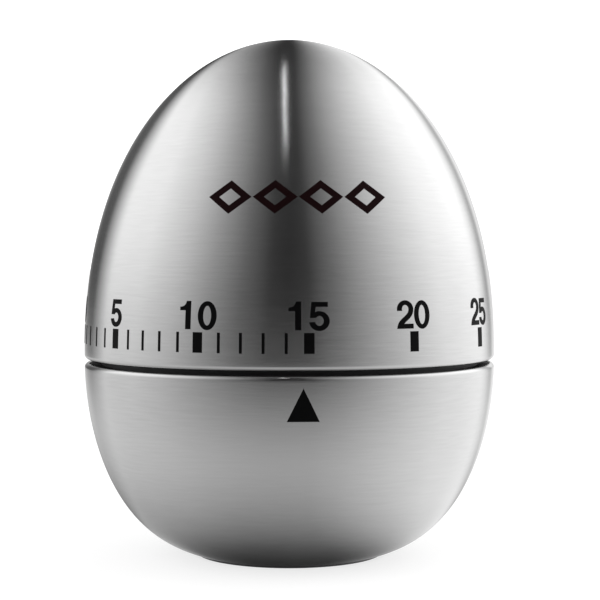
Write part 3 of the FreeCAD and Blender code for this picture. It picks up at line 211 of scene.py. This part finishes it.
def lathe(name, profile, loop):
    """Surface of revolution: each profile row (r, z) becomes (r cos a, r sin a, z) all round.

    A profile with loop set closes on itself; otherwise its two ends lie on the axis
    and each becomes a single point with a fan of triangles.
    """
    ring = np.arange(SEGMENTS)
    turn = ring * 2 * math.pi / SEGMENTS
    rows = profile if loop else profile[1:-1]
    x = rows[:, :1] * np.cos(turn)
    y = rows[:, :1] * np.sin(turn)
    z = np.repeat(rows[:, 1:], SEGMENTS, axis=1)
    points = np.stack([x, y, z], axis=2).reshape(-1, 3)
    count = len(rows)
    first = np.arange(count if loop else count - 1)
    a = first[:, None] * SEGMENTS + ring
    b = first[:, None] * SEGMENTS + (ring + 1) % SEGMENTS
    below = ((first + 1) % count)[:, None] * SEGMENTS
    faces = np.stack([a, b, below + (ring + 1) % SEGMENTS, below + ring], axis=2).reshape(-1, 4).tolist()
    if not loop:
        poles = [[0.0, 0.0, profile[0, 1]], [0.0, 0.0, profile[-1, 1]]]
        last = (count - 1) * SEGMENTS
        top, low = len(points), len(points) + 1
        points = np.vstack([points, poles])
        following = (ring + 1) % SEGMENTS
        faces += np.stack([np.full(SEGMENTS, top), following, ring], axis=1).tolist()
        faces += np.stack([np.full(SEGMENTS, low), last + ring, last + following], axis=1).tolist()
    piece = add_mesh(name, points, faces)
    face_outwards(piece)
    return piece


def face_outwards(piece):
    """Turns every face of a closed mesh the same way, outwards."""
    work = bmesh.new()
    work.from_mesh(piece.data)
    bmesh.ops.recalc_face_normals(work, faces=work.faces)
    work.to_mesh(piece.data)
    work.free()


def dial_skin():
    """Steel dome: outer egg curve, rolled edge, inner egg curve back to the crown."""
    roll_z = DIAL_EDGE + HEM
    outer = egg_profile(DOME, 0, math.pi / 2, angle_at(DOME, 0, roll_z), 150)
    inner = egg_profile(DOME, STEEL, angle_at(DOME, STEEL, roll_z), math.pi / 2, 60)
    centre = (outer[-1, 0] - HEM, roll_z)
    roll = arc_profile(centre, HEM, 0, -90, 14)[1:]
    back = arc_profile(centre, HEM - STEEL, -90, 0, 8)[:-1]
    return lathe("dial_skin", np.vstack([outer, roll, back, inner]), loop=False)


def case_skin():
    """Steel bowl: outer egg curve, foot edge, inner egg curve, rounded lip."""
    roll_z = CASE_EDGE - LIP
    outer = egg_profile(BOWL, 0, angle_at(BOWL, 0, roll_z), angle_at_radius(BOWL, 0, FOOT_RADIUS), 110)
    inner = egg_profile(BOWL, STEEL, angle_at_radius(BOWL, STEEL, FOOT_RADIUS),
                        angle_at(BOWL, STEEL, roll_z), 60)
    centre = (outer[0, 0] - LIP, roll_z)
    back = arc_profile(centre, LIP - STEEL, 0, 90, 6)[1:]
    roll = arc_profile(centre, LIP, 90, 0, 12)[:-1]
    return lathe("case_skin", np.vstack([outer, inner, back, roll]), loop=True)


# ==== print ======================================================================

def ellipse(centre, radii, start, end, count=14):
    """Points on an ellipse from one angle to another, in degrees."""
    angle = np.radians(np.linspace(start, end, count))
    return np.stack([centre[0] + radii[0] * np.cos(angle), centre[1] + radii[1] * np.sin(angle)], axis=1)


def bend(p0, p1, p2, p3, count=8):
    """Points on a cubic curve from p0 to p3 that leaves and arrives along p1 and p2."""
    t = np.linspace(0, 1, count)[:, None]
    p0, p1, p2, p3 = map(np.array, (p0, p1, p2, p3))
    return (1 - t) ** 3 * p0 + 3 * t * (1 - t) ** 2 * p1 + 3 * t ** 2 * (1 - t) * p2 + t ** 3 * p3


def join(*parts):
    return np.vstack([np.atleast_2d(np.array(part, dtype=float)) for part in parts])


def digit_outlines(digit):
    """Outlines of one bold numeral, 1 high with its left edge near 0; the second is its hole."""
    if digit == "0":
        return [ellipse((0.36, 0.49), (0.36, 0.51), 0, 350, 40),
                ellipse((0.36, 0.49), (0.155, 0.345), 0, 350, 36)]
    if digit == "1":
        return [join((0.02, 0.665), (0.02, 0.79), bend((0.02, 0.79), (0.16, 0.79), (0.26, 0.86), (0.28, 1.0)),
                     (0.46, 1.0), (0.46, 0.0), (0.245, 0.0), (0.245, 0.665))]
    if digit == "2":
        return [join((0.0, 0.0), (0.70, 0.0), (0.70, 0.175), (0.30, 0.175),
                     bend((0.30, 0.175), (0.38, 0.29), (0.70, 0.38), (0.71, 0.69), 12),
                     ellipse((0.36, 0.69), (0.35, 0.32), 4, 190, 18),
                     (0.225, 0.635), ellipse((0.36, 0.69), (0.145, 0.155), 175, 0, 12),
                     bend((0.505, 0.69), (0.50, 0.42), (0.02, 0.40), (0.0, 0.0), 14)[1:-1])]
    if digit == "3":
        return [join(ellipse((0.35, 0.29), (0.36, 0.31), 188, 408, 22), (0.53, 0.535),
                     ellipse((0.345, 0.735), (0.325, 0.275), -40, 178, 20),
                     ellipse((0.345, 0.72), (0.13, 0.135), 175, -65, 14),
                     (0.36, 0.585), (0.26, 0.585), (0.26, 0.44), (0.36, 0.44),
                     ellipse((0.35, 0.29), (0.155, 0.15), 65, -172, 16))]
    if digit == "4":
        return [join((0.37, 1.0), (0.60, 1.0), (0.60, 0.385), (0.72, 0.385), (0.72, 0.225), (0.60, 0.225),
                     (0.60, 0.0), (0.40, 0.0), (0.40, 0.225), (0.0, 0.225), (0.0, 0.40)),
                join((0.40, 0.385), (0.15, 0.385), (0.40, 0.76))]
    if digit == "6":
        return [join(bend((0.69, 0.745), (0.66, 0.92), (0.53, 1.01), (0.37, 1.01)),
                     bend((0.37, 1.01), (0.1, 1.01), (0.0, 0.8), (0.0, 0.48))[1:],
                     bend((0.0, 0.48), (0.0, 0.15), (0.12, -0.02), (0.36, -0.02))[1:],
                     ellipse((0.36, 0.31), (0.36, 0.33), -90, 90, 18)[1:],
                     bend((0.36, 0.64), (0.29, 0.64), (0.24, 0.61), (0.21, 0.565))[1:],
                     bend((0.21, 0.565), (0.215, 0.75), (0.27, 0.845), (0.37, 0.845))[1:],
                     bend((0.37, 0.845), (0.43, 0.845), (0.47, 0.8), (0.485, 0.745))[1:]),
                ellipse((0.365, 0.31), (0.15, 0.165), 0, 350, 30)]
    return [join((0.08, 0.985), (0.66, 0.985), (0.66, 0.815), (0.225, 0.815), (0.205, 0.625),
                 ellipse((0.355, 0.32), (0.365, 0.345), 108, -172, 24),
                 (0.2, 0.285), ellipse((0.355, 0.325), (0.155, 0.175), -160, 145, 18),
                 (0.195, 0.43), (0.025, 0.43))]


def rectangle(x, y, width, height):
    return join((x, y), (x + width, y), (x + width, y + height), (x, y + height))


def flat_fill(name, outlines):
    """Flat mesh inside closed outlines in the XY plane; outlines inside others are holes."""
    curve = bpy.data.curves.new(name, "CURVE")
    curve.dimensions = "2D"
    curve.fill_mode = "BOTH"
    for outline in outlines:
        spline = curve.splines.new("POLY")
        spline.points.add(len(outline) - 1)
        rows = np.zeros((len(outline), 4))
        rows[:, :2] = outline
        rows[:, 3] = 1.0
        spline.points.foreach_set("co", rows.ravel())
        spline.use_cyclic_u = True
    holder = bpy.data.objects.new(name, curve)
    mesh = bpy.data.meshes.new_from_object(holder)
    bpy.data.objects.remove(holder)
    bpy.data.curves.remove(curve)
    return mesh


def cut_cells(work, size):
    """Cuts a flat mesh along a square grid, so that it can follow a curved surface."""
    points = np.array([vertex.co[:] for vertex in work.verts])
    for axis in (0, 1):
        normal = Vector((1, 0, 0)) if axis == 0 else Vector((0, 1, 0))
        for place in np.arange(points[:, axis].min() + size, points[:, axis].max(), size):
            everything = work.verts[:] + work.edges[:] + work.faces[:]
            bmesh.ops.bisect_plane(work, geom=everything, dist=1e-9, plane_co=normal * place,
                                   plane_no=normal)


def surface_line(half):
    """Arc length, radius and height along a half of the egg, from the widest plane out."""
    rows = egg_profile(half, 0, 0.002, math.pi / 2 - 0.05, 600)
    steps = np.hypot(*np.diff(rows, axis=0).T)
    return np.concatenate([[0.0], np.cumsum(steps)]), rows[:, 0], rows[:, 1]


def wrap(flat, half, base_z, bearing):
    """Wraps flat points on the egg: x runs round the axis, y up the surface from base_z.

    Each point goes to direction bearing + x / r, and to the place on the outline that
    lies y further along it than base_z, lifted by the ink's thickness.
    """
    length, radius, height = surface_line(half)
    order = np.argsort(height)
    start = np.interp(base_z, height[order], length[order])
    along = start + half["way"] * flat[:, 1]
    r = np.interp(along, length, radius)
    z = np.interp(along, length, height)
    slope_r = np.gradient(radius, length)
    slope_z = np.gradient(height, length)
    out_r = half["way"] * np.interp(along, length, slope_z)
    out_z = -half["way"] * np.interp(along, length, slope_r)
    middle = np.interp(start + half["way"] * flat[:, 1].mean(), length, radius)
    turn = math.radians(bearing) + flat[:, 0] / middle
    r = r + out_r * INK * 0.5
    z = z + out_z * INK * 0.5
    return np.stack([r * np.cos(turn), r * np.sin(turn), z], axis=1)


def printed(name, groups, half):
    """One print piece from (outlines, base height, direction) groups, as a thin closed layer."""
    work = bmesh.new()
    for outlines, base_z, bearing in groups:
        part = bmesh.new()
        part.from_mesh(flat_fill(name, outlines))
        bmesh.ops.remove_doubles(part, verts=part.verts, dist=1e-8)
        bmesh.ops.triangulate(part, faces=part.faces)
        cut_cells(part, INK_CELL)
        flat = np.array([vertex.co[:] for vertex in part.verts])
        for vertex, place in zip(part.verts, wrap(flat, half, base_z, bearing)):
            vertex.co = place
        piece_mesh = bpy.data.meshes.new(name + "_part")
        part.to_mesh(piece_mesh)
        part.free()
        work.from_mesh(piece_mesh)
        bpy.data.meshes.remove(piece_mesh)
    bmesh.ops.triangulate(work, faces=work.faces)
    for face in work.faces:
        out = face.calc_center_median()
        if face.normal.x * out.x + face.normal.y * out.y < 0:
            face.normal_flip()
    mesh = bpy.data.meshes.new(name)
    work.to_mesh(mesh)
    work.free()
    piece = bpy.data.objects.new(name, mesh)
    bpy.context.scene.collection.objects.link(piece)
    layer = piece.modifiers.new("ink layer", "SOLIDIFY")
    layer.thickness = INK
    layer.offset = 0.0
    return piece


def minute_bearing(minute):
    return FRONT + (minute - REST_MINUTES) * DEGREES_PER_MINUTE


def number_outlines(text):
    """Outlines of a number, centred on x = 0, standing on y = 0."""
    outlines = []
    for place, digit in enumerate(text):
        outlines += [outline + (place * DIGIT_PITCH, 0.0) for outline in digit_outlines(digit)]
    xs = np.vstack(outlines)[:, 0]
    middle = (xs.min() + xs.max()) / 2
    return [(outline - (middle, 0.0)) * DIGIT_HEIGHT for outline in outlines]


def scale_ticks():
    groups = []
    for minute in range(LAST_MINUTE + 1):
        if minute % 5 and minute > THIN_UP_TO:
            continue
        width = THIN_TICK if minute % 5 else THICK_TICK
        outline = [rectangle(-width / 2, 0.0, width, TICK_HEIGHT)]
        groups.append((outline, DIAL_EDGE + TICK_FOOT, minute_bearing(minute)))
    return printed("scale_ticks", groups, DOME)


def scale_numerals():
    base = DIAL_EDGE + TICK_FOOT + TICK_HEIGHT + DIGIT_LIFT
    groups = [(number_outlines(str(minute)), base, minute_bearing(minute))
              for minute in range(0, LAST_MINUTE + 1, 5)]
    return printed("scale_numerals", groups, DOME)


def pointer_mark():
    half = POINTER_WIDTH / 2
    outline = [join((-half, 0.0), (half, 0.0), (0.0, POINTER_HEIGHT))]
    return printed("pointer_mark", [(outline, CASE_EDGE - POINTER_TOP - POINTER_HEIGHT, FRONT)], BOWL)


def motif():
    """Plain ornament: a row of lozenge outlines."""
    lozenge = join((1, 0), (0, 1), (-1, 0), (0, -1))
    half_width = MOTIF_WIDTH / MOTIF_COUNT / 2 * MOTIF_FILL
    half_height = MOTIF_HEIGHT / 2
    hollow = 1 - MOTIF_STROKE * math.hypot(1 / half_width, 1 / half_height)
    outlines = []
    for k in range(MOTIF_COUNT):
        middle = ((k - (MOTIF_COUNT - 1) / 2) * MOTIF_WIDTH / MOTIF_COUNT, 0.0)
        outlines.append(lozenge * (half_width, half_height) + middle)
        outlines.append(lozenge * (half_width * hollow, half_height * hollow) + middle)
    return printed("dial_motif", [(outlines, MOTIF_Z, FRONT + MOTIF_TURN)], DOME)


# ==== materials ==================================================================

class Wire:
    """A number in a material; arithmetic on it adds Math nodes."""

    def __init__(self, tree, socket):
        self.tree = tree
        self.socket = socket

    def maths(self, operation, *others):
        return self.tree.add("ShaderNodeMath", {"operation": operation},
                             dict(enumerate((self,) + others)))

    def __add__(self, other):
        return self.maths("ADD", other)

    def __radd__(self, other):
        return self.maths("ADD", other)

    def __sub__(self, other):
        return self.maths("SUBTRACT", other)

    def __rsub__(self, other):
        return self.tree.add("ShaderNodeMath", {"operation": "SUBTRACT"}, {0: other, 1: self})

    def __mul__(self, other):
        return self.maths("MULTIPLY", other)

    def __rmul__(self, other):
        return self.maths("MULTIPLY", other)

    def __truediv__(self, other):
        return self.maths("DIVIDE", other)

    def __pow__(self, other):
        return self.maths("POWER", other)


class Tree:
    """The nodes of one material or world."""

    def __init__(self, owner):
        self.owner = owner
        owner.use_nodes = True
        self.nodes = owner.node_tree.nodes
        self.links = owner.node_tree.links
        self.nodes.clear()

    def add(self, kind, settings=None, inputs=None, output=0):
        """Makes a node: settings first, then the values or links of its sockets."""
        node = self.nodes.new(kind)
        for key, value in (settings or {}).items():
            if key == "stops":
                self.set_stops(node.color_ramp, value)
            else:
                setattr(node, key, value)
        for key, value in (inputs or {}).items():
            if isinstance(value, Wire):
                self.links.new(value.socket, node.inputs[key])
            else:
                node.inputs[key].default_value = value
        return Wire(self, node.outputs[output])

    def set_stops(self, ramp, stops):
        while len(ramp.elements) < len(stops):
            ramp.elements.new(1.0)
        for element, (place, value) in zip(ramp.elements, stops):
            element.position = place
            element.color = (value, value, value, 1.0)

    def place(self):
        """X, Y and Z of the point in the object's frame."""
        where = self.add("ShaderNodeTexCoord", output="Object")
        split = [self.add("ShaderNodeSeparateXYZ", inputs={0: where}, output=k) for k in range(3)]
        return where, split

    def vector(self, x, y, z):
        return self.add("ShaderNodeCombineXYZ", inputs={0: x, 1: y, 2: z})

    def noise(self, vector, scale, detail=2.0, roughness=0.5):
        return self.add("ShaderNodeTexNoise", inputs={"Vector": vector, "Scale": scale, "Detail": detail,
                                                      "Roughness": roughness})

    def ramp(self, stops, value):
        return self.add("ShaderNodeValToRGB", {"stops": stops}, {0: value})

    def mix_colour(self, factor, a, b):
        return self.add("ShaderNodeMix", {"data_type": "RGBA"},
                        {0: factor, 6: (*a, 1.0), 7: (*b, 1.0)}, output=2)

    def bump(self, height, distance, strength=1.0):
        return self.add("ShaderNodeBump", inputs={"Height": height, "Distance": distance,
                                                  "Strength": strength})

    def finish(self, shader, kind="ShaderNodeOutputMaterial"):
        end = self.nodes.new(kind)
        self.links.new(shader.socket, end.inputs["Surface"])
        return self.owner


def brushed_steel(name, lean):
    """Steel brushed round the axis.

    The brushing is noise that is nearly constant round the axis and fast along the
    outline, whose run is z - r on the dome (lean -1) and z + r on the bowl (lean 1).
    """
    tree = Tree(bpy.data.materials.new(name))
    _, (x, y, z) = tree.place()
    r = (x * x + y * y + 1e-9) ** 0.5
    run = z + r * lean
    ways = (x / r, y / r)

    def streaks(spread, pitch, detail):
        return tree.noise(tree.vector(ways[0] * spread, ways[1] * spread, run * pitch), 1.0, detail)

    speck = streaks(70.0, 5200.0, 1.0)
    hair = streaks(9.0, 9000.0, 2.0)
    line = streaks(5.0, 2600.0, 3.0)
    band = streaks(1.6, 320.0, 2.0)
    cloud = streaks(2.0, 60.0, 2.0)
    grain = hair * 0.5 + line * 0.35 + band * 0.15
    colour = tree.mix_colour(grain * 0.8 + cloud * 0.2, (0.50, 0.50, 0.50), (0.67, 0.67, 0.67))
    rough = 0.11 + grain * 0.12 + cloud * 0.04
    normal = tree.bump(hair * 0.5 + line * 0.3 + speck * 0.5, 0.000005)
    shader = tree.add("ShaderNodeBsdfPrincipled", inputs={
        "Base Color": colour, "Metallic": 1.0, "Roughness": rough, "Normal": normal,
        "Anisotropic": 0.9, "Anisotropic Rotation": 0.25})
    return tree.finish(shader)


def screen_ink(name, colour):
    """Screen-printed enamel ink with a slightly orange-peeled, faintly uneven surface."""
    tree = Tree(bpy.data.materials.new(name))
    where, _ = tree.place()
    patch = tree.noise(where, 900.0, 3.0)
    peel = tree.noise(where, 5200.0, 2.0)
    lighter = tuple(2.0 * c for c in colour)
    shader = tree.add("ShaderNodeBsdfPrincipled", inputs={
        "Base Color": tree.mix_colour(patch, colour, lighter), "Roughness": 0.42 + patch * 0.16,
        "Specular IOR Level": 0.05, "Normal": tree.bump(peel, 0.000004)})
    return tree.finish(shader)


def moulded_plastic(name, dark, light, grain_pitch, rough):
    """Moulded plastic with a fine spark-eroded grain and a faint flow mottle."""
    tree = Tree(bpy.data.materials.new(name))
    where, _ = tree.place()
    grain = tree.noise(where, grain_pitch, 3.0, 0.6)
    mottle = tree.noise(where, 160.0, 2.0)
    shader = tree.add("ShaderNodeBsdfPrincipled", inputs={
        "Base Color": tree.mix_colour(mottle * 0.6 + grain * 0.4, dark, light),
        "Roughness": rough + grain * 0.14, "Normal": tree.bump(grain, 0.00001)})
    return tree.finish(shader)


def worked_metal(name, dark, light, rough, along, bump=0.000003):
    """Metal with tool marks: noise stretched along one axis of the part, plus faint tarnish."""
    tree = Tree(bpy.data.materials.new(name))
    where, (x, y, z) = tree.place()
    marks = tree.noise(tree.vector(x * along[0], y * along[1], z * along[2]), 1.0, 3.0)
    tarnish = tree.noise(where, 260.0, 4.0, 0.6)
    shader = tree.add("ShaderNodeBsdfPrincipled", inputs={
        "Base Color": tree.mix_colour(marks * 0.45 + tarnish * 0.55, dark, light), "Metallic": 1.0,
        "Roughness": rough + marks * 0.12 + tarnish * 0.1, "Normal": tree.bump(marks, bump)})
    return tree.finish(shader)


def dress(names, material):
    """Gives CAD nodes a material."""
    for name in names:
        mesh = frame["nodes"][name].data
        mesh.materials.clear()
        mesh.materials.append(material)


# ==== the pieces =================================================================

def steel_skins():
    for piece, node, body, lean in ((dial_skin(), "dial_shell", "dial", -1),
                                    (case_skin(), "base_shell", "case", 1)):
        piece.data.materials.append(brushed_steel("steel_" + body, lean))
        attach(piece, body)
        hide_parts(node)


def prints():
    black = screen_ink("black_ink", (0.0008, 0.0008, 0.0009))
    maroon = screen_ink("maroon_ink", (0.0032, 0.0004, 0.0006))
    for piece, ink, body in ((scale_ticks(), black, "dial"), (scale_numerals(), black, "dial"),
                             (motif(), maroon, "dial"), (pointer_mark(), black, "case")):
        piece.data.materials.append(ink)
        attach(piece, body)


def dress_the_movement():
    """Materials of the inner parts, by the record's slots."""
    finishes = {
        "black_plastic": moulded_plastic("black_abs", (0.006, 0.006, 0.007), (0.016, 0.016, 0.018),
                                         3500.0, 0.42),
        "natural_acetal": moulded_plastic("acetal", (0.76, 0.75, 0.70), (0.84, 0.83, 0.79), 2600.0, 0.34),
        "brass": worked_metal("stamped_brass", (0.62, 0.44, 0.17), (0.80, 0.61, 0.29),
                              0.22, (2600, 500, 2600)),
        "arbor_steel": worked_metal("turned_steel", (0.44, 0.44, 0.45), (0.62, 0.62, 0.63),
                                    0.2, (300, 300, 9000)),
        "spring_steel": worked_metal("blued_steel", (0.05, 0.07, 0.16), (0.16, 0.2, 0.34),
                                     0.24, (900, 900, 5200)),
        "bell_steel": worked_metal("nickel_plate", (0.60, 0.585, 0.55), (0.71, 0.70, 0.67),
                                   0.1, (400, 400, 4200)),
        "zinc_plate": worked_metal("zinc_plate", (0.52, 0.54, 0.58), (0.68, 0.70, 0.74),
                                   0.3, (3400, 600, 3400)),
    }
    replaced = ("dial_shell", "base_shell")
    for entry in frame["record"]["subparts"]:
        if entry["node"] not in replaced:
            dress([entry["node"]], finishes[entry["material_slot"]])


# ==== stage ======================================================================

def softbox(name, azimuth, elevation, distance, width, height, power):
    """Rectangular lamp facing the middle of the egg; azimuth 0 is the pointer's side."""
    data = bpy.data.lights.new(name, "AREA")
    data.shape = "RECTANGLE"
    data.size = width
    data.size_y = height
    data.energy = power
    lamp = bpy.data.objects.new(name, data)
    bpy.context.scene.collection.objects.link(lamp)
    a, e = math.radians(azimuth), math.radians(elevation)
    aim = Vector((0, 0, HEIGHT / 2))
    out = Vector((math.sin(a) * math.cos(e), -math.cos(a) * math.cos(e), math.sin(e)))
    lamp.location = aim + out * distance
    lamp.rotation_euler = (-out).to_track_quat("-Z", "Y").to_euler()
    return lamp


def strip_light():
    """Long thin lamp overhead, in line with the camera and a little to its left."""
    data = bpy.data.lights.new("strip", "AREA")
    data.shape = "RECTANGLE"
    data.size, data.size_y = STRIP_SIZE
    data.energy = STRIP_POWER
    lamp = bpy.data.objects.new("strip", data)
    bpy.context.scene.collection.objects.link(lamp)
    turn = math.radians(CAMERA_AZIMUTH)
    left, forward, up = STRIP_PLACE
    lamp.location = (-left * math.cos(turn) + forward * math.sin(turn),
                     -left * math.sin(turn) - forward * math.cos(turn), up)
    lamp.rotation_euler = (0.0, 0.0, turn)


def floor():
    """Large pale sheet that the timer stands on; its own glow keeps the shadow faint."""
    corners = ((-1, -1), (1, -1), (1, 1), (-1, 1))
    points = np.array([(x * FLOOR_REACH, y * FLOOR_REACH, -FLOOR_GAP) for x, y in corners])
    sheet = add_mesh("floor", points, [[0, 1, 2, 3]])
    tree = Tree(bpy.data.materials.new("floor_paper"))
    where, _ = tree.place()
    fibre = tree.noise(where, 40.0, 3.0)
    shader = tree.add("ShaderNodeBsdfPrincipled", inputs={
        "Base Color": tree.mix_colour(fibre, (0.21, 0.21, 0.21), (0.22, 0.22, 0.22)),
        "Roughness": 0.55 + fibre * 0.05, "Emission Color": (1, 1, 1, 1),
        "Emission Strength": FLOOR_OWN_GLOW})
    sheet.data.materials.append(tree.finish(shader))
    sheet.visible_glossy = False


def studio_glow(tree):
    """Brightness of the studio that a reflection sees, for each direction.

    The steel shows a direction d where its normal points along d + v, v being the
    horizontal way to the camera.  That normal's angle round the axis and its tilt set
    the brightness: dark in front, rising to a wide soft light on each side, dimmer
    overhead; and below, a pale floor that darkens under the timer.  The angle is raised
    to a power that depends on the tilt, which moves the lights nearer the front or
    further back.  The left side has a dark rim and, low down, a lighter edge.
    """
    where = tree.add("ShaderNodeTexCoord", output="Generated")
    x, y, z = [tree.add("ShaderNodeSeparateXYZ", inputs={0: where}, output=k) for k in range(3)]
    turn = math.radians(CAMERA_AZIMUTH)
    across = x * math.cos(turn) + y * math.sin(turn)
    towards = x * math.sin(turn) - y * math.cos(turn) + 1.0001
    angle = across.maths("ABSOLUTE").maths("ARCTAN2", towards) * (2 / math.pi)
    level = (across * across + towards * towards) ** 0.5
    tilt = z.maths("ARCTAN2", level) * (1 / math.pi) + 0.5
    right = across.maths("GREATER_THAN", 0.0)
    spreads = [angle ** (tree.ramp(reach, tilt) * REACH) for reach in (LEFT_REACH, RIGHT_REACH)]
    left_light, right_light = [
        tree.ramp(round_axis, spread) * tree.ramp(over, tilt) * peak
        for spread, (round_axis, over), peak in zip(spreads, (LEFT_SOFTBOX, RIGHT_SOFTBOX), SOFTBOX_PEAK)]
    edge = tree.ramp(LEFT_EDGE[0], angle) * tree.ramp(LEFT_EDGE[1], tilt)
    left_light = left_light * tree.ramp(LEFT_RIM, spreads[1]) + edge
    soft = left_light * (1 - right) + right_light * right
    below = tree.ramp(FLOOR_GLOW, tilt)
    return soft + below * (1 - soft * 0.35)


def world():
    """White surroundings for the background and soft fill, the studio's glow for reflections."""
    owner = bpy.data.worlds.new("studio")
    bpy.context.scene.world = owner
    tree = Tree(owner)
    white = tree.add("ShaderNodeBackground", inputs={"Color": (1, 1, 1, 1), "Strength": FILL})
    glow = tree.add("ShaderNodeBackground", inputs={"Strength": studio_glow(tree)})
    glossy = tree.add("ShaderNodeLightPath", output="Is Glossy Ray")
    tree.finish(tree.add("ShaderNodeMixShader", inputs={0: glossy, 1: white, 2: glow}),
                "ShaderNodeOutputWorld")


def studio():
    """Soft fill from both sides, a narrow lamp overhead, and the pale floor."""
    bpy.context.scene.view_settings.view_transform = "Standard"
    for azimuth, power in SIDE_LAMPS:
        softbox("fill", azimuth, 35, 0.9, 0.6, 0.8, power).visible_glossy = False
    strip_light()
    floor()
    world()


make_camera()
steel_skins()
prints()
dress_the_movement()
studio()
